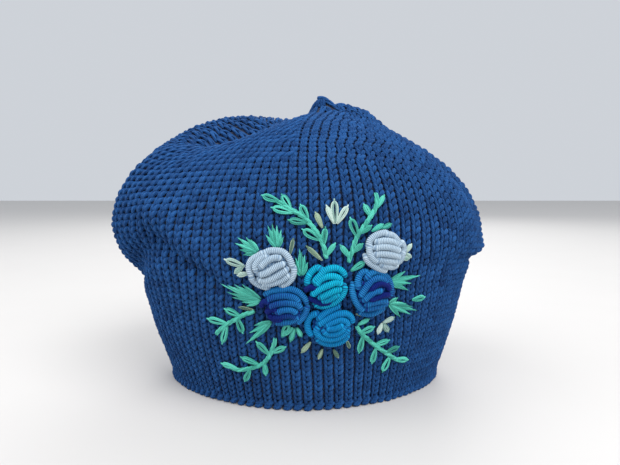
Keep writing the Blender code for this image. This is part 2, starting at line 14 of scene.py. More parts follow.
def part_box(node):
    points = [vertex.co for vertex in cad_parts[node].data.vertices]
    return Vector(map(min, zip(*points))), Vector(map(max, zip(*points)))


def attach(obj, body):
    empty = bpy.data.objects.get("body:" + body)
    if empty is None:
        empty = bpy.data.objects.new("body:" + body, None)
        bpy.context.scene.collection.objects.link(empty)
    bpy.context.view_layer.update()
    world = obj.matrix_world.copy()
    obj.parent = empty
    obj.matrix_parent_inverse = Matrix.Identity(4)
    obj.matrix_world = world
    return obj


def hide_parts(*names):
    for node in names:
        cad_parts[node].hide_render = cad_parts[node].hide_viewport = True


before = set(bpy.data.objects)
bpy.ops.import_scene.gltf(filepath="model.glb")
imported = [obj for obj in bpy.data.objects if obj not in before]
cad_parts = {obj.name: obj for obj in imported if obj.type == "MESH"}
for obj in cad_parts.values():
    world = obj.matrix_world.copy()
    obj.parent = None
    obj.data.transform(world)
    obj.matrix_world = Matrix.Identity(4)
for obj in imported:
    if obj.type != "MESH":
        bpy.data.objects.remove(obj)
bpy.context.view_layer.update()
LOG = logging.getLogger("winter_hat")
MM = 0.001
TINY = 1e-12
BOUQUET_ACROSS = 2.6 * MM
BOUQUET_RISE = 74.8 * MM


class Section(NamedTuple):
    """One course of knitting, as shares of the hat's sizes."""

    course: float
    rim_hold: float
    left: float
    left_rise: float
    right: float
    right_rise: float
    front: float
    front_rise: float
    back: float
    back_rise: float
    squareness: float


class Lean(NamedTuple):
    """Where the middle of a course lies, as shares of the belly's half width and half depth."""

    course: float
    across: float
    back: float


class Fold(NamedTuple):
    """A fold or lobe: degrees of turn, shares of the courses, and a share of the height."""

    name: str
    turn: float
    course: float
    turn_reach: float
    course_reach: float
    slant: float
    depth: float


class Floss(Enum):
    """The colours of embroidery floss."""

    GREY = "grey"
    BLUE = "blue"
    TURQUOISE = "turquoise"
    SEA_BLUE = "sea_blue"
    MINT = "mint"
    CREAM = "cream"
    SAGE = "sage"


class LeafStitch(Enum):
    """How a leaf is worked."""

    LOOP = "loop"
    FEATHER = "feather"


class Bullion(NamedTuple):
    """One wrapped stitch of a rose: its middle line in millimetres from the bouquet's middle."""

    points: tuple[tuple[float, float], ...]
    lift: float = 0.0
    tone: float = 0.0
    end_tone: float = 0.0


class Leaf(NamedTuple):
    """One leaf from its tip to its base, in millimetres from the bouquet's middle."""

    tip_across: float
    tip_up: float
    base_across: float
    base_up: float
    width: float


def fan(
    base_across: float, base_up: float, width: float, tips: Sequence[tuple[float, float]]
) -> tuple[Leaf, ...]:
    """Give leaves of one width that meet at one base.

    Args:
        base_across: The base's place, to the right of the bouquet's middle.
        base_up: The base's place, above it.
        width: The leaves' width.
        tips: Each leaf's tip, in the same way.

    Returns:
        The leaves, in the tips' order.
    """
    return tuple(Leaf(*tip, base_across, base_up, width) for tip in tips)


@dataclass(frozen=True)
class HatForm:
    """The outer face of the knitted fabric as a function of a turn round it and a course up it."""

    rim_width: float = 176 * MM
    rim_depth: float = 118 * MM
    belly_width: float = 244 * MM
    belly_depth: float = 166 * MM
    height: float = 180 * MM
    nudge: float = 0.001
    facets_around: int = 44
    rows_up: int = 24
    sections: tuple[Section, ...] = (
        Section(0.00, 1.00, 1.000, 0.000, 1.000, 0.000, 1.010, 0.000, 0.985, 0.000, 1.80),
        Section(0.10, 0.80, 0.978, 0.105, 0.998, 0.105, 1.015, 0.108, 0.990, 0.105, 1.90),
        Section(0.20, 0.58, 0.966, 0.210, 0.990, 0.215, 1.015, 0.218, 1.000, 0.220, 2.00),
        Section(0.30, 0.38, 0.945, 0.310, 0.971, 0.310, 1.010, 0.330, 1.020, 0.335, 2.10),
        Section(0.38, 0.25, 0.941, 0.385, 0.967, 0.390, 1.013, 0.425, 1.035, 0.430, 2.15),
        Section(0.45, 0.10, 0.967, 0.460, 0.982, 0.455, 0.989, 0.510, 1.030, 0.520, 2.15),
        Section(0.52, 0.00, 0.980, 0.545, 0.978, 0.530, 0.955, 0.595, 1.010, 0.610, 2.15),
        Section(0.60, 0.00, 0.945, 0.650, 0.940, 0.620, 0.900, 0.690, 0.985, 0.715, 2.15),
        Section(0.70, 0.00, 0.800, 0.765, 0.815, 0.735, 0.790, 0.795, 0.900, 0.845, 2.10),
        Section(0.78, 0.00, 0.620, 0.820, 0.660, 0.820, 0.655, 0.860, 0.760, 0.920, 2.05),
        Section(0.86, 0.00, 0.430, 0.830, 0.460, 0.890, 0.470, 0.905, 0.560, 0.950, 2.00),
        Section(0.93, 0.00, 0.230, 0.845, 0.260, 0.935, 0.260, 0.935, 0.310, 0.935, 2.00),
        Section(0.97, 0.00, 0.100, 0.895, 0.120, 0.955, 0.110, 0.955, 0.130, 0.930, 2.00),
        Section(1.00, 0.00, 0.020, 1.000, 0.020, 1.000, 0.028, 1.000, 0.028, 1.000, 2.00),
    )
    leans: tuple[Lean, ...] = (
        Lean(0.00, -0.029, 0.000),
        Lean(0.52, -0.070, 0.036),
        Lean(0.80, -0.049, 0.012),
        Lean(1.00, 0.053, -0.145),
    )
    folds: tuple[Fold, ...] = (
        Fold("fold_under_left_lobe", -56, 0.43, 22, 0.045, 0.0034, -0.039),
        Fold("crown_dent", -80, 0.87, 36, 0.070, 0.0, -0.061),
        Fold("back_left_lobe", -128, 0.835, 36, 0.090, 0.0, 0.089),
        Fold("front_left_hollow", -38, 0.80, 20, 0.100, 0.0, -0.022),
        Fold("right_corner", 86, 0.475, 16, 0.030, 0.0, 0.022),
        Fold("right_pinch", 70, 0.435, 22, 0.022, 0.0, -0.017),
        Fold("right_valley", 68, 0.70, 7, 0.150, 0.0, -0.017),
        Fold("right_dimple", 38, 0.56, 12, 0.060, 0.0, -0.011),
        Fold("left_ridge", -62, 0.68, 7, 0.120, 0.0, 0.014),
    )
    drape: tuple[Fold, ...] = (
        Fold("back_left_shoulder", -112, 0.745, 38, 0.080, 0.0, 0.062),
        Fold("left_side", -85, 0.30, 35, 0.120, 0.0, -0.018),
        Fold("right_of_tip", 80, 0.935, 34, 0.040, 0.0, 0.030),
        Fold("beside_tip", 85, 0.967, 38, 0.020, 0.0, 0.017),
        Fold("left_crease", -30, 0.425, 16, 0.030, -0.0064, -0.017),
        Fold("over_left_crease", -34, 0.510, 18, 0.045, -0.0064, 0.012),
        Fold("right_shoulder", 85, 0.68, 28, 0.120, 0.0, 0.018),
        Fold("left_middle", -95, 0.50, 30, 0.060, 0.0, -0.014),
    )

    @staticmethod
    def read_track(at: np.ndarray, knots: Sequence[float], values: Sequence[float]) -> np.ndarray:
        """Read a smooth curve through rows of values.

        Args:
            at: Where to read it.
            knots: The rows' places.
            values: The rows' values.

        Returns:
            The curve's values.
        """
        at = np.asarray(at, float)
        knots = np.asarray(knots, float)
        values = np.asarray(values, float)
        slopes = np.gradient(values, knots)
        row = np.clip(np.searchsorted(knots, at, side="right") - 1, 0, len(knots) - 2)
        span = knots[row + 1] - knots[row]
        t = (at - knots[row]) / span
        start = (2 * t**3 - 3 * t**2 + 1) * values[row] + (t**3 - 2 * t**2 + t) * slopes[row] * span
        end = (3 * t**2 - 2 * t**3) * values[row + 1] + (t**3 - t**2) * slopes[row + 1] * span
        return start + end

    def column(self, rows: Sequence[NamedTuple], name: str, at: np.ndarray) -> np.ndarray:
        """Read one named column of the rows at the given courses."""
        return self.read_track(at, [row.course for row in rows], [getattr(row, name) for row in rows])

    def smooth(self, turn: np.ndarray, course: np.ndarray) -> np.ndarray:
        """Place the fabric before its folds.

        Args:
            turn: Radians round the hat from its front towards +X.
            course: Share of the courses, from the rim to the tip.

        Returns:
            Points, before the hat is set on the frame's origin.
        """
        hold = self.column(self.sections, "rim_hold", course)
        half_width = (hold * self.rim_width + (1 - hold) * self.belly_width) / 2
        half_depth = (hold * self.rim_depth + (1 - hold) * self.belly_depth) / 2
        squareness = self.column(self.sections, "squareness", course)
        side, ahead = np.sin(turn), np.cos(turn)
        swell = (np.abs(side) ** squareness + np.abs(ahead) ** squareness) ** (-1 / squareness)
        read = {name: self.column(self.sections, name, course) for name in Section._fields[2:10]}
        to_side = np.where(side > 0, read["right"], read["left"])
        to_front = np.where(ahead > 0, read["front"], read["back"])
        side_rise = np.where(side > 0, read["right_rise"], read["left_rise"])
        front_rise = np.where(ahead > 0, read["front_rise"], read["back_rise"])
        lean_across = self.column(self.leans, "across", course) * self.belly_width / 2
        lean_back = self.column(self.leans, "back", course) * self.belly_depth / 2
        x = lean_across + to_side * half_width * side * swell
        y = lean_back - to_front * half_depth * ahead * swell
        z = self.height * (side_rise * side**2 + front_rise * ahead**2)
        return np.stack([x, y, z], axis=-1)

    def outward(self, place: Callable, turn: np.ndarray, course: np.ndarray) -> np.ndarray:
        """Give the unit normal, facing out, of a surface function."""
        along = place(turn + self.nudge, course) - place(turn - self.nudge, course)
        higher = place(turn, np.minimum(course + self.nudge, 1))
        lower = place(turn, np.maximum(course - self.nudge, 0))
        normal = np.cross(along, higher - lower)
        return normal / (np.linalg.norm(normal, axis=-1, keepdims=True) + TINY)

    def fabric(self, turn: np.ndarray, course: np.ndarray, draped: bool = True) -> np.ndarray:
        """Place the fabric with its folds, dents and lobes, before it is set on the origin.

        Args:
            turn: Radians round the hat.
            course: Share of the courses.
            draped: Whether it also takes the finer folds that a soft fabric falls into.

        Returns:
            Points.
        """
        turn, course = np.broadcast_arrays(np.asarray(turn, float), np.asarray(course, float))
        push = np.zeros_like(turn)
        for fold in self.folds + (self.drape if draped else ()):
            offset = turn - math.radians(fold.turn)
            away = np.degrees(np.arctan2(np.sin(offset), np.cos(offset)))
            along = course - fold.course - fold.slant * away
            reach = (away / fold.turn_reach) ** 2 + (along / fold.course_reach) ** 2
            push = push + fold.depth * self.height * np.exp(-reach)
        return self.smooth(turn, course) + self.outward(self.smooth, turn, course) * push[..., None]


class Loom:
    """The hat's form set on the frame: it carries flat work on to the fabric."""

    def __init__(self, form: HatForm) -> None:
        """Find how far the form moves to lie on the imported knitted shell."""
        self.form = form
        turns = np.arange(form.facets_around) * 2 * math.pi / form.facets_around
        courses = np.arange(form.rows_up + 1) / form.rows_up
        grid = form.fabric(*np.meshgrid(turns, courses), draped=False).reshape(-1, 3)
        low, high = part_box("knitted_hat")
        middle = (np.array(low) + np.array(high)) / 2
        self.shift = middle - (grid.min(axis=0) + grid.max(axis=0)) / 2
        self.shift[2] = low[2] - grid[:, 2].min()
        self.sheet_low = np.array([-64.0, -62.0]) * MM
        self.sheet_step = 1.0 * MM
        across = self.sheet_low[0] + np.arange(130) * self.sheet_step
        up = self.sheet_low[1] + np.arange(116) * self.sheet_step
        grid_across, grid_up = np.meshgrid(across, up, indexing="ij")
        turn, course = self.find_on_front(BOUQUET_ACROSS + grid_across, BOUQUET_RISE + grid_up)
        self.sheet = np.concatenate(self.place(turn, course, np.zeros_like(turn)), axis=-1)

    def place(
        self, turn: np.ndarray, course: np.ndarray, height: np.ndarray
    ) -> tuple[np.ndarray, np.ndarray]:
        """Place points at a height over the fabric.

        Args:
            turn: Radians round the hat.
            course: Share of the courses.
            height: Metres out from the fabric's outer face.

        Returns:
            The points and the fabric's normals there.
        """
        normal = self.form.outward(self.form.fabric, turn, course)
        points = self.form.fabric(turn, course) + normal * np.asarray(height)[..., None] + self.shift
        return points, normal

    def find_on_front(self, across: np.ndarray, up: np.ndarray) -> tuple[np.ndarray, np.ndarray]:
        """Find where the front of the fabric has the form's own x and z.

        Args:
            across: The x values.
            up: The z values.

        Returns:
            The turns and the courses.
        """
        form = self.form
        turn = across / (form.belly_width / 2)
        course = np.clip(up / form.height, 0.02, 0.9)
        for _ in range(12):
            here = form.fabric(turn, course)
            by_turn = (form.fabric(turn + form.nudge, course) - here) / form.nudge
            by_course = (form.fabric(turn, course + form.nudge) - here) / form.nudge
            miss_across, miss_up = across - here[..., 0], up - here[..., 2]
            span = by_turn[..., 0] * by_course[..., 2] - by_course[..., 0] * by_turn[..., 2]
            turn = turn + (miss_across * by_course[..., 2] - miss_up * by_course[..., 0]) / span
            course = course + (by_turn[..., 0] * miss_up - by_turn[..., 2] * miss_across) / span
            course = np.clip(course, 0.0, 0.9)
        return turn, course

    def press(
        self, across: np.ndarray, up: np.ndarray, height: np.ndarray
    ) -> tuple[np.ndarray, np.ndarray]:
        """Carry flat embroidery on to the front.

        Args:
            across: Metres to the right of the bouquet's middle.
            up: Metres above it.
            height: Metres out from the fabric.

        Returns:
            The points and the fabric's normals there.
        """
        cell = (np.stack([across, up], axis=-1) - self.sheet_low) / self.sheet_step
        corner = np.clip(np.floor(cell).astype(int), 0, np.array(self.sheet.shape[:2]) - 2)
        share = np.clip(cell - corner, 0, 1)
        found = np.zeros((*across.shape, 6))
        for right in (0, 1):
            for above in (0, 1):
                weight = np.abs(1 - right - share[..., 0]) * np.abs(1 - above - share[..., 1])
                found += self.sheet[corner[..., 0] + right, corner[..., 1] + above] * weight[..., None]
        normals = found[..., 3:] / np.linalg.norm(found[..., 3:], axis=-1, keepdims=True)
        return found[..., :3] + normals * np.asarray(height)[..., None], normals


class StrandPattern:
    """A closed strand, modelled once from a sphere with as many sides and rings as it needs."""

    made: dict[tuple[int, int], "StrandPattern"] = {}

    def __init__(self, sides: int, rings: int) -> None:
        """Model the strand and read its rings, angles, faces and UV corners."""
        bpy.ops.object.select_all(action="DESELECT")
        bpy.ops.mesh.primitive_uv_sphere_add(segments=sides, ring_count=rings, radius=1.0)
        pattern = bpy.context.object
        mesh = pattern.data
        places = np.zeros(len(mesh.vertices) * 3)
        mesh.vertices.foreach_get("co", places)
        places = places.reshape(-1, 3)
        self.rings = rings
        self.ring = np.rint((1 - np.arccos(np.clip(places[:, 2], -1, 1)) / math.pi) * rings).astype(int)
        self.angle = np.arctan2(places[:, 1], places[:, 0])
        self.corners = np.zeros(len(mesh.loops), int)
        mesh.loops.foreach_get("vertex_index", self.corners)
        self.face_starts = np.zeros(len(mesh.polygons), int)
        mesh.polygons.foreach_get("loop_start", self.face_starts)
        flat = np.zeros(len(mesh.loops) * 2)
        mesh.uv_layers[0].data.foreach_get("uv", flat)
        self.uv = flat.reshape(-1, 2)[:, ::-1].copy()
        bpy.data.objects.remove(pattern, do_unlink=True)
        bpy.data.meshes.remove(mesh)

    @classmethod
    def get(cls, sides: int, rings: int) -> "StrandPattern":
        """Give the pattern with these sides and rings, made once."""
        if (sides, rings) not in cls.made:
            cls.made[(sides, rings)] = cls(sides, rings)
        return cls.made[(sides, rings)]


class StrandCloth:
    """Gathers many strands into one mesh."""

    def __init__(self, name: str) -> None:
        """Start an empty piece of that name."""
        self.name = name
        self.points: list[np.ndarray] = []
        self.corners: list[np.ndarray] = []
        self.starts: list[np.ndarray] = []
        self.uvs: list[np.ndarray] = []
        self.tones: list[np.ndarray] = []
        self.point_count = 0
        self.corner_count = 0

    def lay(
        self,
        paths: np.ndarray,
        ups: np.ndarray,
        radius: np.ndarray,
        tone: np.ndarray,
        sides: int = 6,
        flatness: float = 1.0,
        length_units: np.ndarray | float = 1.0,
        ridge: Callable[[np.ndarray, np.ndarray], np.ndarray] | None = None,
    ) -> None:
        """Sweep strands along paths.

        Args:
            paths: Points, as strands by rings by three.
            ups: The direction away from the fabric at each point.
            radius: Metres, for each strand and ring, or one that fits them.
            tone: How dark each strand is at each ring, or one value for each.
            sides: Sides round a strand.
            flatness: The strand's height as a share of its width.
            length_units: How often the ply or wrap pattern repeats along each strand.
            ridge: A share of the radius by way along, in those units, and angle.
        """
        count, steps = paths.shape[:2]
        pattern = StrandPattern.get(sides, steps - 1)
        tangent = np.gradient(paths, axis=1)
        tangent /= np.linalg.norm(tangent, axis=-1, keepdims=True) + TINY
        side = np.cross(ups, tangent)
        side /= np.linalg.norm(side, axis=-1, keepdims=True) + TINY
        up = np.cross(tangent, side)
        radius = np.broadcast_to(radius, (count, steps))[:, pattern.ring]
        closed = (pattern.ring > 0) & (pattern.ring < pattern.rings)
        radius = radius * closed
        units = np.broadcast_to(np.reshape(length_units, (-1, 1)), (count, 1))
        if ridge is not None:
            way = pattern.ring / pattern.rings * units
            radius = radius * ridge(way, pattern.angle)
        wide = np.cos(pattern.angle) * radius
        high = np.sin(pattern.angle) * radius * flatness
        places = paths[:, pattern.ring] + side[:, pattern.ring] * wide[..., None]
        places = places + up[:, pattern.ring] * high[..., None]
        size = len(pattern.ring)
        offsets = np.arange(count) * size + self.point_count
        self.points.append(places.reshape(-1, 3))
        self.corners.append((pattern.corners[None, :] + offsets[:, None]).ravel())
        corner_offsets = np.arange(count) * len(pattern.corners) + self.corner_count
        self.starts.append((pattern.face_starts[None, :] + corner_offsets[:, None]).ravel())
        uv = np.broadcast_to(pattern.uv, (count, *pattern.uv.shape)).copy()
        uv[..., 0] *= units
        self.uvs.append(uv.reshape(-1, 2))
        tone = np.broadcast_to(np.reshape(tone, (count, -1)), (count, steps))[:, pattern.ring]
        self.tones.append(tone.ravel())
        self.point_count += count * size
        self.corner_count += count * len(pattern.corners)

    def finish(self) -> bpy.types.Object:
        """Make the joined mesh, shaded smooth, with its UV map and its tone attribute."""
        points = np.concatenate(self.points)
        corners = np.concatenate(self.corners)
        starts = np.concatenate(self.starts)
        mesh = bpy.data.meshes.new(self.name)
        mesh.vertices.add(len(points))
        mesh.vertices.foreach_set("co", points.ravel())
        mesh.loops.add(len(corners))
        mesh.loops.foreach_set("vertex_index", corners)
        mesh.polygons.add(len(starts))
        mesh.polygons.foreach_set("loop_start", starts)
        mesh.update(calc_edges=True)
        mesh.polygons.foreach_set("use_smooth", np.ones(len(starts), bool))
        layer = mesh.uv_layers.new(name="strand")
        layer.data.foreach_set("uv", np.concatenate(self.uvs).ravel())
        tone = mesh.attributes.new("tone", "FLOAT", "POINT")
        tone.data.foreach_set("value", np.concatenate(self.tones))
        mesh.validate()
        piece = bpy.data.objects.new(self.name, mesh)
        bpy.context.scene.collection.objects.link(piece)
        return piece


class Sock:
    """Wraps a shader socket so that sums on it add Math nodes."""

    def __init__(self, sheet: "ShaderSheet", socket: bpy.types.NodeSocket) -> None:
        """Keep the node tree and the socket."""
        self.sheet = sheet
        self.socket = socket

    def _math(self, operation: str, first: object, second: object = 0.0) -> "Sock":
        """Add one Math node and give its result."""
        return self.sheet.node("ShaderNodeMath", {"operation": operation}, {0: first, 1: second})

    def __add__(self, other: object) -> "Sock":
        """Add."""
        return self._math("ADD", self, other)

    __radd__ = __add__

    def __mul__(self, other: object) -> "Sock":
        """Multiply."""
        return self._math("MULTIPLY", self, other)

    __rmul__ = __mul__

    def __sub__(self, other: object) -> "Sock":
        """Subtract."""
        return self._math("SUBTRACT", self, other)

    def __rsub__(self, other: object) -> "Sock":
        """Subtract this from a value."""
        return self._math("SUBTRACT", other, self)

    def wave(self) -> "Sock":
        """Take the sine of this, in turns, from 0 to 1."""
        return self._math("SINE", self * (2 * math.pi)) * 0.5 + 0.5

    def clamp(self) -> "Sock":
        """Keep this between 0 and 1."""
        return self.sheet.node("ShaderNodeClamp", {}, {"Value": self})


class ShaderSheet:
    """A material's node tree."""

    def __init__(self, name: str) -> None:
        """Start a material with one Principled shader."""
        self.material = bpy.data.materials.new(name)
        self.material.use_nodes = True
        self.tree = self.material.node_tree
        self.shader = self.tree.nodes["Principled BSDF"]

    def link(self, value: object, socket: bpy.types.NodeSocket) -> None:
        """Link or set a socket."""
        if isinstance(value, Sock):
            self.tree.links.new(value.socket, socket)
        else:
            socket.default_value = value

    def node(self, kind: str, settings: dict, inputs: dict, output: int | str = 0) -> Sock:
        """Add a node.

        Args:
            kind: The node's type.
            settings: Its properties, set first.
            inputs: Values or links of its sockets, by name or number.
            output: Which output to give.

        Returns:
            The output, wrapped.
        """
        made = self.tree.nodes.new(kind)
        for key, value in settings.items():
            setattr(made, key, value)
        for key, value in inputs.items():
            self.link(value, made.inputs[key])
        return Sock(self, made.outputs[output])

    def strand_uv(self) -> tuple[Sock, Sock]:
        """Give the way along a strand, in its pattern's units, and the way round it."""
        uv = self.node("ShaderNodeUVMap", {"uv_map": "strand"}, {})
        split = self.tree.nodes.new("ShaderNodeSeparateXYZ")
        self.link(uv, split.inputs[0])
        return Sock(self, split.outputs[0]), Sock(self, split.outputs[1])

    def noise(self, scale: float, detail: float = 2.0, roughness: float = 0.5) -> Sock:
        """Give a noise value over object coordinates."""
        places = self.node("ShaderNodeTexCoord", {}, {}, "Object")
        values = {"Vector": places, "Scale": scale, "Detail": detail, "Roughness": roughness}
        return self.node("ShaderNodeTexNoise", {}, values)

    def tone(self) -> Sock:
        """Give the strand's own tone attribute."""
        return self.node("ShaderNodeAttribute", {"attribute_name": "tone"}, {}, "Fac")

    def mix(self, share: object, first: object, second: object) -> Sock:
        """Mix two colours.

        Args:
            share: How much of the second.
            first: A colour's three values, or a link.
            second: The same.

        Returns:
            The mixed colour.
        """
        made = self.tree.nodes.new("ShaderNodeMix")
        made.data_type = "RGBA"
        self.link(share, made.inputs["Factor"])
        self.link(self._colour(first), made.inputs["A"])
        self.link(self._colour(second), made.inputs["B"])
        colour_output = next(out for out in made.outputs if out.type == "RGBA")
        return Sock(self, colour_output)

    @staticmethod
    def _colour(value: object) -> object:
        """Give a colour its alpha."""
        if isinstance(value, Sock):
            return value
        return (*value, 1.0)

    def bump(self, height: Sock, distance: float, strength: float = 1.0) -> None:
        """Feed a Bump node to the shader's normal."""
        values = {"Height": height, "Distance": distance, "Strength": strength}
        made = self.node("ShaderNodeBump", {}, values)
        self.link(made, self.shader.inputs["Normal"])

    def set(self, **values: object) -> None:
        """Set or link the shader's own sockets, with underscores for spaces."""
        for key, value in values.items():
            self.link(value, self.shader.inputs[key.replace("_", " ").title().replace("Ior", "IOR")])


@dataclass(frozen=True)
class YarnFinish:
    """Thick, slightly fuzzy blue yarn of several plies."""

    name: str = "yarn_blue"
    light: tuple[float, float, float] = (0.020, 0.105, 0.320)
    dark: tuple[float, float, float] = (0.003, 0.020, 0.085)
    sheen: float = 0.12
    plies: float = 2.0

    def material(self) -> bpy.types.Material:
        """Make the yarn: twisted plies, loose fibres and slight changes of dye."""
        sheet = ShaderSheet(self.name)
        along, around = sheet.strand_uv()
        ply = (along * self.plies + around * 3.0).wave()
        fibre = sheet.noise(2600.0, 3.0, 0.6)
        tuft = sheet.noise(750.0, 2.0, 0.6)
        dye = sheet.noise(42.0, 2.0, 0.5)
        # The ply wave also shades the colour: painted shade in the grooves between plies. The fibre, tuft
        # and dye noises and the tone are the yarn's own uneven colour.
        share = (ply * 0.25 + fibre * 0.5 + tuft * 0.7 + dye * 0.25 + sheet.tone() - 0.38).clamp()
        sheet.set(base_color=sheet.mix(share, self.dark, self.light))
        sheet.set(roughness=0.92, metallic=0.0, sheen_weight=self.sheen, sheen_roughness=0.5)
        sheet.set(sheen_tint=(0.25, 0.50, 1.0, 1.0), specular_ior_level=0.15)
        sheet.bump(ply * 0.5 + fibre * 0.5 + tuft * 0.5, 0.6 * MM, 1.0)
        return sheet.material


@dataclass(frozen=True)
class PurlFinish:
    """The inside of the knitting: rows of purl bumps in the same yarn, coloured darker than the outside as
    painted shade.
    """

    name: str = "yarn_blue_inside"
    # Both colours are darker than the outside yarn's: painted shade on the inside and in the gaps between
    # stitches.
    light: tuple[float, float, float] = (0.016, 0.050, 0.150)
    dark: tuple[float, float, float] = (0.004, 0.014, 0.050)

    def material(self) -> bpy.types.Material:
        """Make the purl side from its own stitch map."""
        sheet = ShaderSheet(self.name)
        wale, course = sheet.strand_uv()
        bump = wale.wave() * (course + wale.wave() * 0.3).wave()
        fibre = sheet.noise(2200.0, 3.0, 0.6)
        # The bump pattern also darkens the colour between the purl bumps: painted shade.
        sheet.set(base_color=sheet.mix((bump * 0.7 + fibre * 0.3).clamp(), self.dark, self.light))
        sheet.set(roughness=0.95, metallic=0.0, sheen_weight=0.2)
        sheet.bump(bump + fibre * 0.2, 1.4 * MM, 1.0)
        return sheet.material


@dataclass(frozen=True)
class FlossFinish:
    """Cotton floss: fine strands with a soft sheen, and a dye that changes along it."""

    name: str
    light: tuple[float, float, float]
    base: tuple[float, float, float]
    dark: tuple[float, float, float]
    strands: float = 4.0
    dye_scale: float = 90.0
    wrapped: bool = False

    def material(self) -> bpy.types.Material:
        """Make the floss, laid along a stitch or wrapped round it, with painted shade in its grooves and
        painted highlight on its crests.
        """
        sheet = ShaderSheet(self.name)
        along, around = sheet.strand_uv()
        if self.wrapped:
            lines = (along + around - 0.25).wave()
        else:
            lines = (along * self.strands + around * self.strands).wave()
        dye = sheet.noise(self.dye_scale, 2.0, 0.6)
        fibre = sheet.noise(5200.0, 2.0, 0.6)
        tone = sheet.tone()
        # The lines lighten the crests of the wraps or strands as painted highlight; the dye and fibre
        # noises are the floss's own colour.
        bright = ((dye - 0.35) * 1.4 + lines * 0.35 + fibre * 0.2 - tone * 0.7).clamp()
        colour = sheet.mix(bright, self.base, self.light)
        # Painted shade: the grooves between the wraps or strands are mixed towards the dark colour. The
        # tone adds the floss's own darker dye and also the painted shade of bullion ends and rose pads.
        groove_shade, start = (0.75, 0.25) if self.wrapped else (0.45, 0.15)
        tone_and_groove_shade = (tone * 1.3 - start + (1 - lines) * groove_shade).clamp()
        sheet.set(base_color=sheet.mix(tone_and_groove_shade, colour, self.dark), roughness=0.6, metallic=0.0)
        sheet.set(sheen_weight=0.02, sheen_roughness=0.35, specular_ior_level=0.14)
        sheet.bump(lines * 0.8 + fibre * 0.3, (0.30 if self.wrapped else 0.12) * MM, 0.9)
        return sheet.material


# The dark colour of each floss is partly its own darker dye (the navy of the blues) and partly painted
# shade in grooves, at bullion ends and on rose pads.
FLOSSES = {
    Floss.GREY: FlossFinish(
        "floss_grey", (0.58, 0.70, 0.78), (0.34, 0.46, 0.57), (0.10, 0.19, 0.32), wrapped=True
    ),
    Floss.BLUE: FlossFinish(
        "floss_blue", (0.020, 0.28, 0.60), (0.004, 0.11, 0.35), (0.001, 0.010, 0.14), wrapped=True
    ),
    Floss.TURQUOISE: FlossFinish(
        "floss_turquoise", (0.001, 0.50, 0.68), (0.001, 0.25, 0.48), (0.001, 0.012, 0.14), wrapped=True
    ),
    Floss.SEA_BLUE: FlossFinish(
        "floss_sea_blue", (0.001, 0.29, 0.58), (0.001, 0.16, 0.43), (0.001, 0.035, 0.17), wrapped=True
    ),
    Floss.MINT: FlossFinish("floss_mint", (0.16, 0.74, 0.58), (0.055, 0.46, 0.36), (0.03, 0.20, 0.16)),
    Floss.SAGE: FlossFinish("floss_sage", (0.52, 0.64, 0.46), (0.14, 0.27, 0.18), (0.01, 0.05, 0.05)),
    Floss.CREAM: FlossFinish("floss_cream", (0.68, 0.82, 0.76), (0.44, 0.60, 0.52), (0.12, 0.26, 0.24)),
}


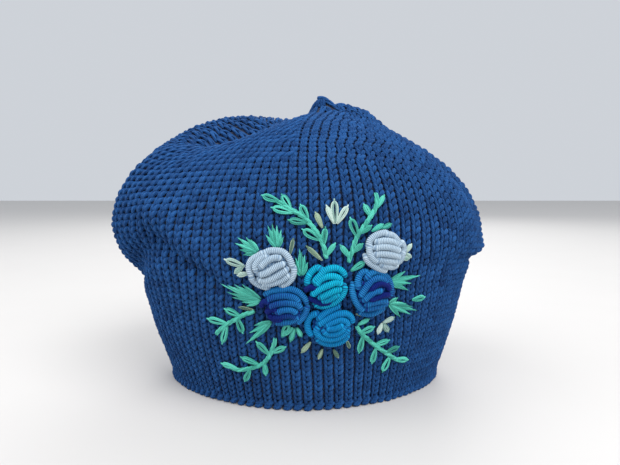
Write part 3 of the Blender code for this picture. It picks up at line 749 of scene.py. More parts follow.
@dataclass
class KnittedFabric:
    """The knitted hat: stocking stitch in the round, in eight wedges that close at the tip."""

    loom: Loom
    wedges: int = 8
    wales_in_wedge: int = 13
    courses: int = 61
    wale_width: float = 5.5 * MM
    yarn_radius: float = 1.24 * MM
    wall: float = 4.5 * MM
    backing_depth: float = 1.8 * MM
    sink: float = 1.05
    rim_spread: float = 0.10
    belly_spread: float = -0.14
    left_lean: float = 13.0
    rings: int = 6
    left_leg: tuple[tuple[float, float, float], ...] = (
        (-0.06, -0.45, -0.7), (-0.13, -0.15, 0.15), (-0.19, 0.18, 0.50), (-0.24, 0.50, 0.62),
        (-0.26, 0.82, 0.50), (-0.27, 1.10, 0.0), (-0.27, 1.35, -0.7),
    )
    right_leg: tuple[tuple[float, float, float], ...] = (
        (-0.08, -0.38, -0.8), (0.02, -0.08, 0.30), (0.10, 0.18, 0.80), (0.18, 0.42, 1.00),
        (0.26, 0.66, 0.85), (0.33, 0.90, 0.20), (0.38, 1.12, -0.8),
    )

    def spread_turn(self, angle: np.ndarray, course: np.ndarray) -> np.ndarray:
        """Turn an even angle into the fabric's turn, so that the wales keep their width."""
        share = np.clip(course / 0.5, 0, 1)
        spread = self.rim_spread + (self.belly_spread - self.rim_spread) * share
        from_left = np.degrees(angle - math.radians(-60))
        from_left = (from_left + 180) % 360 - 180
        rising = np.clip(course / 0.75, 0, 1)
        reach = np.where(from_left > 0, 40, 70)
        lean = math.radians(self.left_lean) * rising**1.5 * np.exp(-((from_left / reach) ** 2))
        return angle + spread * np.sin(2 * angle) / 2 + lean

    def girth(self, course: float) -> float:
        """Measure round the hat at a course."""
        turns = np.linspace(0, 2 * math.pi, 181)
        ring = self.loom.form.fabric(turns, np.full_like(turns, course))
        return float(np.linalg.norm(np.diff(ring, axis=0), axis=1).sum())

    def counts(self) -> np.ndarray:
        """Give the wales in a wedge at each course, falling towards the tip."""
        found = []
        most = self.wales_in_wedge
        for row in range(self.courses + 2):
            course = min(row / self.courses, 1.0)
            fits = self.girth(course) / self.wedges / self.wale_width
            if course > 0.5:
                most = int(np.clip(round(fits), 1, most))
            found.append(most)
        return np.array(found)

    def stitches(self) -> dict[str, np.ndarray]:
        """List every stitch: its row, its column's angle here and a row up, and its width."""
        counts = self.counts()
        rows, here, above, widths = [], [], [], []
        for row in range(self.courses):
            count, after = counts[row], counts[row + 1]
            for wedge in range(self.wedges):
                for column in range(count):
                    following = min(column, after - 1)
                    rows.append(row)
                    here.append((wedge + (column + 0.5) / count) / self.wedges)
                    above.append((wedge + (following + 0.5) / after) / self.wedges)
                    widths.append(1 / count / self.wedges)
        return {
            "row": np.array(rows, float),
            "here": np.array(here) * 2 * math.pi,
            "above": np.array(above) * 2 * math.pi,
            "width": np.array(widths) * 2 * math.pi,
        }

    def leg_paths(self, stitch: dict[str, np.ndarray], leg: Sequence, seed: int) -> tuple:
        """Run one leg of every stitch over the fabric.

        Args:
            stitch: The list of stitches.
            leg: The leg's points: share of the wale, share of the course, share of the yarn's radius.
            seed: Starts the small unevenness of hand knitting.

        Returns:
            The paths, the directions away from the fabric and each strand's radius.
        """
        shape = np.array(leg)
        count = len(stitch["row"])
        uneven = np.random.default_rng(seed)
        across = shape[None, :, 0] + uneven.normal(0, 0.018, (count, 1))
        along = shape[None, :, 1] + uneven.normal(0, 0.045, (count, 1))
        high = shape[None, :, 2] * (1 + uneven.normal(0, 0.10, (count, 1)))
        drift = stitch["above"][:, None] - stitch["here"][:, None]
        angle = stitch["here"][:, None] + drift * along + across * stitch["width"][:, None]
        course = np.clip((stitch["row"][:, None] + along) / self.courses, 0.0, 1.0)
        turn = self.spread_turn(angle, course)
        ring_size = np.linalg.norm(
            self.loom.form.fabric(turn[:, 3] + stitch["width"] / 2, course[:, 3])
            - self.loom.form.fabric(turn[:, 3] - stitch["width"] / 2, course[:, 3]),
            axis=-1,
        )
        thickness = self.yarn_radius * np.clip(ring_size / self.wale_width, 0.45, 1.06)
        thickness = thickness * (1 + uneven.normal(0, 0.04, count))
        height = high * thickness[:, None] - self.sink * self.yarn_radius
        places, normals = self.loom.place(turn, course, height)
        return places, normals, thickness

    def build_stitches(self) -> list[bpy.types.Object]:
        """Lay every stitch's two legs, in one piece for each quarter of the hat."""
        stitch = self.stitches()
        middle = (stitch["here"] + math.pi / 4) % (2 * math.pi)
        quarter = (middle // (math.pi / 2)).astype(int)
        taper = np.sin(np.linspace(0, math.pi, self.rings + 1)) ** 0.42
        pieces = []
        legs = ((self.left_leg, 11, 0.88, 0.0), (self.right_leg, 23, 1.0, 0.06))
        laid = [(self.leg_paths(stitch, leg, seed), plump, tone) for leg, seed, plump, tone in legs]
        for number, name in enumerate(("knit_front", "knit_right", "knit_back", "knit_left")):
            cloth = StrandCloth(name)
            chosen = quarter == number
            for (places, normals, thickness), plump, tone in laid:
                radius = thickness[chosen, None] * taper[None, :] * plump
                shade = tone + np.random.default_rng(5 + number).normal(0, 0.11, int(chosen.sum()))
                cloth.lay(places[chosen], normals[chosen], radius, shade, sides=6, flatness=0.9)
            pieces.append(cloth.finish())
        return pieces

    def build_cast_on(self) -> bpy.types.Object:
        """Lay the cast-on edge: one rounded bump under each wale, with the yarn crossing between."""
        count = self.wedges * self.wales_in_wedge
        cloth = StrandCloth("knit_cast_on")
        angle = (np.arange(count) + 0.5) * 2 * math.pi / count
        width = 2 * math.pi / count
        steps = np.linspace(-1, 1, 8)
        for start, end, rise, out, seed in ((-0.5, 0.42, 0.15, 0.1, 3), (-0.30, 0.62, 0.62, -0.3, 7)):
            uneven = np.random.default_rng(seed)
            across = start + (end - start) * (steps + 1) / 2
            high = out + 0.75 * np.cos(steps * math.pi / 2) + uneven.normal(0, 0.10, (count, 1))
            along = rise + 0.25 * steps[None, :] + uneven.normal(0, 0.05, (count, 1))
            course = np.clip((along + 0.10) / self.courses, 0, 1)
            turn = self.spread_turn(angle[:, None] + across[None, :] * width, course)
            height = high * self.yarn_radius - 0.3 * self.yarn_radius
            places, normals = self.loom.place(turn, course, height)
            places[..., 2] += self.yarn_radius * 0.75
            radius = self.yarn_radius * 1.05 * np.sin(np.linspace(0.05, math.pi - 0.05, 8)) ** 0.4
            cloth.lay(places, normals, radius[None, :], np.full(count, 0.03), sides=7)
        return cloth.finish()

    def build_tip(self) -> bpy.types.Object:
        """Lay the gathered tip: the last loops drawn together, and the fastened end beside them."""
        cloth = StrandCloth("knit_tip")
        last_course = self.loom.form.fabric(np.linspace(0, 2 * math.pi, 12), np.ones(12))
        top = last_course.mean(axis=0) + self.loom.shift
        upright = np.array([0.0, 0.0, 1.0])
        t = np.linspace(0, 1, 17)
        for number in range(9):
            swing = number * 2 * math.pi / 9 + 0.3
            away = np.array([math.cos(swing), math.sin(swing), 0.0])
            out = (3.9 * (1 - t) ** 1.3 + 0.2) * MM
            rise = (-6.0 + 5.4 * t) * MM
            path = top + away * out[:, None] + upright * rise[:, None]
            ups = np.broadcast_to(away, path.shape)
            taper = np.sin(np.linspace(0.15, math.pi - 0.25, 17)) ** 0.3
            cloth.lay(path[None], ups[None], 1.15 * MM * taper[None], np.array([0.05]), sides=8)
        t = np.linspace(0, 1, 21)
        drawn = [-2.2 + 8.5 * t, -0.8 - 0.5 * t, 0.1 - 2.6 * t**1.4 + 0.5 * np.sin(math.pi * t)]
        path = top + np.stack(drawn, axis=-1) * MM
        ups = np.broadcast_to(upright, path.shape)
        taper = 1.55 * np.clip(np.sin(np.linspace(0.25, math.pi, 21)), 0, 1) ** 0.4
        cloth.lay(path[None], ups[None], taper[None] * MM, np.array([0.1]), sides=10)
        ring = np.linspace(0, 2 * math.pi, 25)
        knot = [1.5 * np.cos(ring) - 0.3, 1.4 * np.sin(ring), 0.3 * np.cos(ring) - 1.4]
        path = top + np.stack(knot, axis=-1) * MM
        ups = np.broadcast_to(upright, path.shape)
        cloth.lay(path[None], ups[None], np.full((1, 25), 1.05 * MM), np.array([0.1]), sides=8)
        return cloth.finish()

    def build_backing(self) -> bpy.types.Object:
        """Shape the wall behind the stitches from one grid sheet, closed at the tip and thickened."""
        around = self.wedges * self.wales_in_wedge
        bpy.ops.object.select_all(action="DESELECT")
        bpy.ops.mesh.primitive_grid_add(x_subdivisions=around, y_subdivisions=self.courses, size=2.0)
        sheet = bpy.context.object
        sheet.name = "knit_backing"
        mesh = sheet.data
        flat = np.zeros(len(mesh.vertices) * 3)
        mesh.vertices.foreach_get("co", flat)
        flat = flat.reshape(-1, 3)
        angle = (flat[:, 0] + 1) * math.pi
        course = (flat[:, 1] + 1) / 2
        turn = self.spread_turn(angle, course)
        places, _ = self.loom.place(turn, course, np.full(len(flat), -self.backing_depth))
        tip = course > 1 - 0.25 / self.courses
        places[tip] = places[tip].mean(axis=0)
        places[:, 2] = np.maximum(places[:, 2], 0.6 * MM)
        mesh.vertices.foreach_set("co", places.ravel())
        layer = mesh.uv_layers[0]
        layer.name = "strand"
        uv = np.zeros(len(mesh.loops) * 2)
        layer.data.foreach_get("uv", uv)
        uv = uv.reshape(-1, 2) * np.array([around, self.courses])
        layer.data.foreach_set("uv", uv.ravel())
        mesh.update()
        bpy.context.view_layer.objects.active = sheet
        sheet.select_set(True)
        bpy.ops.object.mode_set(mode="EDIT")
        bpy.ops.mesh.select_all(action="SELECT")
        bpy.ops.mesh.remove_doubles(threshold=0.00002)
        bpy.ops.mesh.normals_make_consistent(inside=False)
        bpy.ops.object.mode_set(mode="OBJECT")
        wall = sheet.modifiers.new("wall", "SOLIDIFY")
        wall.thickness = self.wall - self.backing_depth
        wall.offset = -1.0
        wall.use_rim = True
        bpy.ops.object.modifier_apply(modifier="wall")
        bpy.ops.object.shade_smooth()
        return sheet

    def build(self) -> list[bpy.types.Object]:
        """Build and dress the whole fabric."""
        yarn = YarnFinish().material()
        backing = self.build_backing()
        backing.data.materials.append(PurlFinish().material())
        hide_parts("knitted_hat")
        pieces = [*self.build_stitches(), self.build_cast_on(), self.build_tip()]
        for piece in pieces:
            piece.data.materials.append(yarn)
        pieces.append(backing)
        for piece in pieces:
            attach(piece, "root")
        return pieces


@dataclass
class BullionRose:
    """A rose of wrapped bullion stitches over a low pad of the same floss."""

    loom: Loom
    node: str
    across: float
    up: float
    half_width: float
    half_height: float
    floss: Floss
    slot: str
    bullions: tuple[Bullion, ...]
    radius: float = 1.78 * MM
    foot: float = 1.80 * MM
    dome: float = 3.0 * MM
    wrap_pitch: float = 1.02 * MM
    rings_in_wrap: float = 5.0
    pad_share: float = 0.80
    pad_rise: float = 3.6 * MM

    def bullion_path(self, bullion: Bullion, steps: int) -> tuple[np.ndarray, np.ndarray]:
        """Run one bullion's middle line over the pad, its ends dipping to the fabric.

        Args:
            bullion: The stitch.
            steps: How many steps along it.

        Returns:
            The points and the fabric's normals there.
        """
        points = np.array(bullion.points)
        walked = np.concatenate([[0], np.cumsum(np.linalg.norm(np.diff(points, axis=0), axis=1))])
        t = np.linspace(0, 1, steps + 1)
        flat = [HatForm.read_track(t * walked[-1], walked, points[:, axis]) for axis in (0, 1)]
        away = ((flat[0] - self.across) / self.half_width) ** 2
        away = away + ((flat[1] - self.up) / self.half_height) ** 2
        height = self.foot + self.dome * np.sqrt(np.clip(1 - away, 0, 1)) + bullion.lift * MM
        ends = np.clip(np.minimum(t, 1 - t) / 0.09, 0, 1)
        height = height - (1 - ends) ** 2 * self.radius * 1.2
        return self.loom.press(flat[0] * MM, flat[1] * MM, height)

    def build(self) -> bpy.types.Object:
        """Wrap and lay every bullion, with the pad behind them."""
        cloth = StrandCloth(self.node + "_floss")
        for bullion in self.bullions:
            rough, _ = self.bullion_path(bullion, 12)
            wraps = float(np.linalg.norm(np.diff(rough, axis=0), axis=1).sum()) / self.wrap_pitch
            steps = int(math.ceil(wraps * self.rings_in_wrap / 12) * 12)
            path, normals = self.bullion_path(bullion, steps)
            t = np.linspace(0, 1, steps + 1)
            ends = np.clip(np.minimum(t, 1 - t) / 0.10, 0, 1)
            taper = self.radius * (0.55 + 0.45 * np.sin(ends * math.pi / 2))
            # Painted shade: the tone darkens towards each end, where the bullion dips into the fabric;
            # bullion.tone and end_tone are the floss's own dye.
            end_shade_ramp = np.clip(np.minimum(t, 1 - t) / 0.14, 0, 1)
            tone = bullion.tone + (bullion.end_tone - bullion.tone) * t + 0.30 * (1 - end_shade_ramp) ** 2
            cloth.lay(
                path[None], normals[None], taper[None], tone[None], sides=12,
                length_units=wraps, ridge=self.wrap_ridge,
            )
        self.lay_pad(cloth)
        piece = cloth.finish()
        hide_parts(self.node)
        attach(piece, "root")
        return piece

    @staticmethod
    def wrap_ridge(way: np.ndarray, angle: np.ndarray) -> np.ndarray:
        """Swell the thread over each turn of the wrap, which climbs as it goes round."""
        turn = way + angle / (2 * math.pi) + 0.5
        return 0.90 + 0.12 * np.abs(np.sin(math.pi * turn)) ** 0.8

    def lay_pad(self, cloth: StrandCloth) -> None:
        """Lay the pad as rounded strands side by side, darker than the bullions as painted shade in the
        gaps between them.
        """
        rows = 7
        t = np.linspace(-1, 1, 13)
        for row in range(rows):
            offset = (row + 0.5) / rows * 2 - 1
            reach = math.sqrt(1 - offset**2)
            across = (self.across + self.half_width * self.pad_share * reach * t) * MM
            up = np.full_like(t, (self.up + self.half_height * self.pad_share * offset) * MM)
            dome = np.sqrt(np.clip(1 - offset**2 - (reach * t) ** 2, 0, 1))
            path, normals = self.loom.press(across, up, self.pad_rise * dome)
            radius = np.full((1, 13), self.half_height * self.pad_share / rows * 1.5 * MM)
            # The pad's tone of 0.55 darkens it: painted shade between the bullions.
            cloth.lay(path[None], normals[None], radius, np.array([0.55]), sides=8, length_units=12.0)


@dataclass
class FlossSpray:
    """A spray, feather leaf or bud: stem stitches and leaves of doubled floss."""

    loom: Loom
    node: str
    floss: Floss
    slot: str
    stitch: LeafStitch
    leaves: tuple[Leaf, ...]
    stem: tuple[tuple[float, float], ...] = ()
    strand: float = 0.50 * MM
    seat: float = 1.35 * MM
    tones: float = 0.16

    def flat_strand(
        self, cloth: StrandCloth, flat: np.ndarray, height: np.ndarray, radius: float, tone: float
    ) -> None:
        """Lay one strand of floss.

        Args:
            cloth: The mesh that takes it.
            flat: Its points, in metres from the bouquet's middle.
            height: Metres out from the fabric, at each point.
            radius: Metres.
            tone: How dark it is.
        """
        path, normals = self.loom.press(flat[:, 0], flat[:, 1], height)
        steps = len(flat)
        taper = np.clip(np.sin(np.linspace(0.12, math.pi - 0.12, steps)), 0, 1) ** 0.3
        length = float(np.linalg.norm(np.diff(path, axis=0), axis=1).sum())
        tone = max(tone + 0.28 * math.sin(17.3 * flat[2, 0] / MM + 9.1 * flat[2, 1] / MM), 0.0)
        cloth.lay(
            path[None], normals[None], radius * taper[None], np.array([tone]),
            sides=6, length_units=length / (6 * radius),
        )

    def lay_loop(self, cloth: StrandCloth, leaf: Leaf, tone: float) -> None:
        """Lay a chain loop: out from the base, round the tip and back, tied down at its tip."""
        tip = np.array([leaf.tip_across, leaf.tip_up]) * MM
        base = np.array([leaf.base_across, leaf.base_up]) * MM
        way = tip - base
        length = np.linalg.norm(way)
        way = way / length
        side = np.array([-way[1], way[0]])
        t = np.linspace(0, 1, 25)
        along = (1 - np.cos(2 * math.pi * t)) / 2
        body = length * 0.90
        for inset, lift in ((0.0, 0.0), (1.5 * self.strand, 0.30 * MM)):
            half = max(leaf.width * MM / 2 - self.strand - inset, 0.25 * MM)
            across = half * np.sin(2 * math.pi * t) * (0.35 + 0.65 * along) * 1.25
            reach = inset * 0.9 + (body - inset * 1.5) * along
            flat = base + way * reach[:, None] + side * across[:, None]
            height = self.seat + lift + 0.3 * MM * np.sin(math.pi * t)
            self.flat_strand(cloth, flat, height, self.strand, tone + (0.06 if inset else 0.0))
        tie = np.stack([base + way * (length * share) for share in np.linspace(0.80, 1.06, 7)])
        height = self.seat + 0.5 * MM * np.sin(np.linspace(0.5, math.pi, 7))
        self.flat_strand(cloth, tie, height, self.strand * 0.95, tone)

    def lay_feather(self, cloth: StrandCloth, leaf: Leaf, tone: float) -> None:
        """Lay a leaf of straight strands side by side that meet at its base."""
        tip = np.array([leaf.tip_across, leaf.tip_up]) * MM
        base = np.array([leaf.base_across, leaf.base_up]) * MM
        way = tip - base
        side = np.array([-way[1], way[0]]) / np.linalg.norm(way)
        t = np.linspace(0, 1, 9)
        for number, share in enumerate((-1.0, 0.0, 1.0)):
            short = 1 - 0.14 * abs(share)
            spread = share * (leaf.width * MM / 2 - self.strand) * np.sin(math.pi * (0.12 + 0.86 * t))
            flat = base + way * (t * short)[:, None] + side * spread[:, None]
            height = self.seat + (0.5 - 0.25 * abs(share)) * MM * np.sin(math.pi * t)
            self.flat_strand(cloth, flat, height, self.strand * 0.95, tone + 0.12 * (number % 2))

    def lay_stem(self, cloth: StrandCloth) -> None:
        """Lay the stem: slanted stitches that overlap like a rope, two strands to each."""
        knots = np.linspace(0, 1, len(self.stem))
        table = np.array(self.stem) * MM
        fine = np.linspace(0, 1, 200)
        line = np.stack([HatForm.read_track(fine, knots, table[:, axis]) for axis in (0, 1)], axis=-1)
        walked = np.concatenate([[0], np.cumsum(np.linalg.norm(np.diff(line, axis=0), axis=1))])
        total = walked[-1]
        pitch = 3.0 * MM
        count = max(3, round(total / pitch))
        for number in range(count):
            start = number / count * total
            end = min(start + 5.2 * MM, total)
            at = np.linspace(start, end, 9)
            centre = np.stack([np.interp(at, walked, line[:, axis]) for axis in (0, 1)], axis=-1)
            way = centre[-1] - centre[0]
            side = np.array([-way[1], way[0]]) / (np.linalg.norm(way) + TINY)
            slant = np.linspace(-0.45, 0.45, 9) * MM
            for lane, rise in ((-0.62, 0.0), (0.0, 0.30), (0.62, 0.0)):
                flat = centre + side * (slant + lane * MM)[:, None]
                height = self.seat + (0.35 * np.sin(np.linspace(0, math.pi, 9)) + rise) * MM
                self.flat_strand(cloth, flat, height, self.strand, 0.05 + 0.10 * (number % 2))

    def build(self) -> bpy.types.Object:
        """Lay the stem and every leaf."""
        cloth = StrandCloth(self.node + "_floss")
        if self.stem:
            self.lay_stem(cloth)
        uneven = np.random.default_rng(len(self.node) * 7 + len(self.leaves))
        for leaf in self.leaves:
            tone = float(np.clip(uneven.normal(self.tones * 0.6, self.tones), 0, 0.5))
            if self.stitch is LeafStitch.LOOP:
                self.lay_loop(cloth, leaf, tone)
            else:
                self.lay_feather(cloth, leaf, tone)
        piece = cloth.finish()
        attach(piece, "root")
        if self.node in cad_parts:
            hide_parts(self.node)
        return piece


@dataclass
class Bouquet:
    """All the embroidery on the front."""

    loom: Loom
    pieces: list[bpy.types.Object] = field(default_factory=list)

    def roses(self) -> list[BullionRose]:
        """List the six roses."""
        loom = self.loom
        return [
            BullionRose(loom, "rose_upper_left", -22.0, 9.4, 12.2, 10.4, Floss.GREY, "floss_grey", (
                Bullion(((-25.1, 17.9), (-28.2, 16), (-31.9, 13.5), (-33.2, 10.5), (-32.6, 7.2),
                         (-31.9, 5.3)), 0, 0, 0.05),
                Bullion(((-25.8, 16.7), (-22.9, 18.4), (-19.7, 18.6), (-16.5, 18), (-13.8, 15.8),
                         (-12, 12.4), (-11.3, 9.8)), 0.2, 0, 0),
                Bullion(((-10.9, 10.9), (-10.9, 7.5), (-12, 4.4), (-14.3, 1.9),
                         (-17.9, 0.2)), 0, 0, 0.1),
                Bullion(((-32.6, 5.7), (-31.2, 2.9), (-28.7, 1.2), (-25.8, 0.1),
                         (-23.3, -0.3)), 0, 0.15, 0.05),
                Bullion(((-29.2, 8.3), (-29.8, 10.9), (-28.3, 13.5), (-25.8, 15.3),
                         (-23.3, 16.2)), 0.1, 0.05, 0),
                Bullion(((-27.2, 10.2), (-25.6, 12.3), (-22.9, 14.3), (-20.1, 15.3),
                         (-17.2, 15.2)), 0.3, 0, 0.05),
                Bullion(((-28, 6.8), (-25.5, 7.4), (-22.2, 9.2), (-19, 11.2),
                         (-15.2, 12.6)), 0.5, 0.05, 0),
                Bullion(((-28.7, 4.4), (-25.8, 3.7), (-21.8, 4.8), (-18.2, 6.9), (-15, 9),
                         (-13.6, 10.2)), 0.4, 0, 0.1),
                Bullion(((-27.2, 1.9), (-22.9, 1.9), (-19, 3), (-15.5, 4.9),
                         (-13, 7.1)), 0.1, 0.1, 0.05),
            )),
            BullionRose(loom, "rose_upper_right", 35.0, 17.0, 10.8, 10.4, Floss.GREY, "floss_grey", (
                Bullion(((26.3, 19.8), (27.2, 23), (29.9, 25.4), (33.6, 26.6),
                         (36.5, 26.8)), 0, 0.05, 0),
                Bullion(((35.2, 26), (38.4, 25.4), (40.9, 23.1), (42.4, 20)), 0.1, 0, 0),
                Bullion(((43.6, 22), (45, 19.5), (44.9, 16.4)), -0.2, 0, 0.05),
                Bullion(((44.6, 16.8), (43.8, 14), (42, 11.6)), -0.2, 0, 0.05),
                Bullion(((29.6, 22.4), (33.6, 23), (38, 22.4), (41.6, 20.6)), 0.4, 0, 0.05),
                Bullion(((28.8, 19.6), (32.6, 20.2), (37.4, 19.6), (42.2, 17.8)), 0.5, 0, 0),
                Bullion(((29, 16.6), (32.6, 16.8), (37.4, 16.2), (42.2, 14.8)), 0.4, 0, 0),
                Bullion(((27, 21), (26.8, 17.9), (28.4, 14.8), (31.1, 12.6)), 0.1, 0, 0.05),
                Bullion(((30.6, 14), (34.6, 13.2), (38.6, 12.6), (41.6, 12.2)), 0.2, 0.05, 0.1),
                Bullion(((32.4, 11.2), (35.8, 10.3), (39.4, 9.8), (41.4, 10.8)), 0, 0.1, 0.05),
                Bullion(((24.8, 16.1), (26.2, 13.2), (29.6, 10.4), (33.4, 8.5),
                         (36.2, 7.6)), -0.2, 0.05, 0),
            )),
            BullionRose(loom, "rose_lower_left", -15.8, -11.0, 12.4, 11.0, Floss.BLUE, "floss_blue", (
                Bullion(((-26.3, -5), (-22.7, -2.4), (-17.8, -1.3), (-12.2, -1.2), (-8.3, -3),
                         (-5, -6.8),
                         (-4, -9.7)), 0, 0.05, 0.1),
                Bullion(((-4, -9.9), (-5, -13.6), (-7, -17), (-9.4, -19.6)), 0, 0.1, 0.1),
                Bullion(((-24.6, -6.6), (-19.6, -4.6), (-14.5, -4.2), (-10.4, -5.4),
                         (-8, -8)), 0.2, 0.45, 0.05),
                Bullion(((-23.4, -10), (-18.4, -8), (-13.2, -7.6), (-9, -8.8),
                         (-7, -11.4)), 0.4, 0.55, 0.05),
                Bullion(((-19.6, -12.8), (-15.9, -11.2), (-12, -11.4), (-9.4, -13.2)), 0.5, 0.2, 0),
                Bullion(((-21.8, -15.8), (-17.2, -14.8), (-12.6, -14.6), (-9.4, -16.4)), 0.2, 0.9, 0.35),
                Bullion(((-20.6, -18.8), (-16, -18.6), (-12, -18), (-8.4, -15.2)), 0, 0.3, 0.1),
                Bullion(((-27.2, -9.6), (-25.8, -7.8), (-23.4, -7.4)), 0.1, 0.95, 0.8),
                Bullion(((-24.2, -12.6), (-22.2, -11.4), (-19.8, -11.2)), 0.1, 0.95, 0.9),
                Bullion(((-22.8, -14.6), (-20.6, -16.6), (-17, -16.8)), 0.1, 0.95, 0.85),
            )),
            BullionRose(loom, "rose_middle", 5.8, -0.4, 10.8, 11.0, Floss.TURQUOISE, "floss_turquoise", (
                Bullion(((-4.2, 1), (-3.7, 4.4), (-1.6, 7.8), (1.2, 9.6), (3.6, 9)), 0, 0, 0),
                Bullion(((-1.2, 2.4), (1.8, 5.8), (5.4, 9), (10, 9.6), (13.4, 7.8),
                         (15.5, 4.6)), 0.2, 0.05, 0),
                Bullion(((0, 1.4), (2.6, 4.4), (6.5, 6), (10.4, 5.4), (13, 3.4)), 0.3, 0, 0),
                Bullion(((-2, -3.8), (1.8, -0.6), (6.1, 1.6), (10.7, 2.8), (13.4, 1.8)), 0.5, 0, 0),
                Bullion(((1.8, -5.2), (5.4, -3.2), (9.4, -1.2), (12.4, -0.6)), 0.4, 0.05, 0),
                Bullion(((14.4, 1.4), (14.6, -1.2), (13.4, -4.4), (10.5, -7.4), (6.7, -9.4),
                         (2.5, -10.4),
                         (-1, -8.5)), -0.1, 0.1, 0.1),
                Bullion(((3.7, -7.2), (7.6, -5.6), (11, -3.4)), 0.1, 0.2, 0),
                Bullion(((-4.8, -1.4), (-2.6, 0), (0.2, -0.2)), 0, 1, 1),
                Bullion(((-2.8, -5.6), (0.4, -7.2), (4.2, -8.4), (8, -7.8)), -0.2, 1, 1),
            )),
            BullionRose(loom, "rose_bottom", 8.0, -22.0, 12.6, 11.6, Floss.SEA_BLUE, "floss_turquoise", (
                Bullion(((1.2, -17.4), (4.3, -14.4), (8.4, -12), (12.6, -10.6)), 0, 0, 0.1),
                Bullion(((1.6, -13.8), (-2.2, -16), (-3.9, -19.4), (-3.6, -23.5),
                         (-1.4, -26.9)), -0.1, 0, 0),
                Bullion(((19.3, -20.6), (18.4, -17), (15.9, -14.8), (12.2, -14.4), (8.2, -15.6),
                         (4.4, -17.8), (1.2, -20.6)), 0.1, 0, 0),
                Bullion(((1.8, -20.4), (0.4, -23.5), (1.9, -26.2), (6.1, -28), (11, -27.8), (15, -25.6),
                         (17.4, -22.2)), 0.1, 0.05, 0),
                Bullion(((0.2, -28), (4.9, -30.9), (10, -31.6), (14.5, -29.9),
                         (17.4, -26.2)), -0.3, 0.05, 0),
                Bullion(((4.6, -20.6), (8.6, -18.6), (12.8, -17.6), (15.6, -19),
                         (16.6, -22)), 0.2, 0, 0.05),
                Bullion(((3.6, -23), (6.5, -25), (10, -25), (13.4, -23.2), (15.2, -20.8)), 0.3, 0, 0),
                Bullion(((6.2, -21.8), (9.8, -21.6), (13.4, -20.2)), 0.7, 0, 0),
            )),
            BullionRose(loom, "rose_right", 29.0, -4.6, 10.8, 12.2, Floss.BLUE, "floss_blue", (
                Bullion(((19.2, 1.3), (18.8, -2.6), (20, -7.1), (22.3, -11), (24.8, -13.2)), 0, 0, 0.05),
                Bullion(((22.2, -14.2), (26, -15.7), (29.6, -15.7), (32.8, -14.2),
                         (35.6, -12.2)), -0.2, 0.1, 0.1),
                Bullion(((21.6, -1), (21.4, 2.4), (22.7, 5.4), (25, 7.2), (27, 6.8)), 0, 0.05, 0.05),
                Bullion(((25, 3.2), (27.4, 6.2), (30.5, 7.2), (33.8, 6.2), (36.7, 3.9), (38.5, 0.5),
                         (39, -3.4), (38, -7.2)), 0.1, 0, 0.3),
                Bullion(((22.4, -5.4), (24, -2.2), (26, 0.8), (28.4, 3.2), (31.4, 4.2), (34, 3.4),
                         (36.6, 1.2)), 0.3, 0.1, 0.25),
                Bullion(((27.4, -1.6), (30, 0.6), (33, 1.4), (36, 0.2), (37.8, -2.4)), 0.4, 0.85, 1),
                Bullion(((24, -7.2), (26.6, -4.6), (29.6, -2.6), (33.4, -2.2)), 0.5, 0.05, 0),
                Bullion(((27.6, -6.8), (31, -5.6), (34.4, -4.8), (37.4, -4.8)), 0.5, 0.8, 1),
                Bullion(((25.2, -9.8), (29, -8.6), (32.6, -8), (36.6, -8.6)), 0.3, 0.1, 0.2),
                Bullion(((25.4, -12.4), (29.6, -11.6), (33.8, -11), (37.2, -9.6)), 0.1, 0.2, 0.25),
            )),
        ]

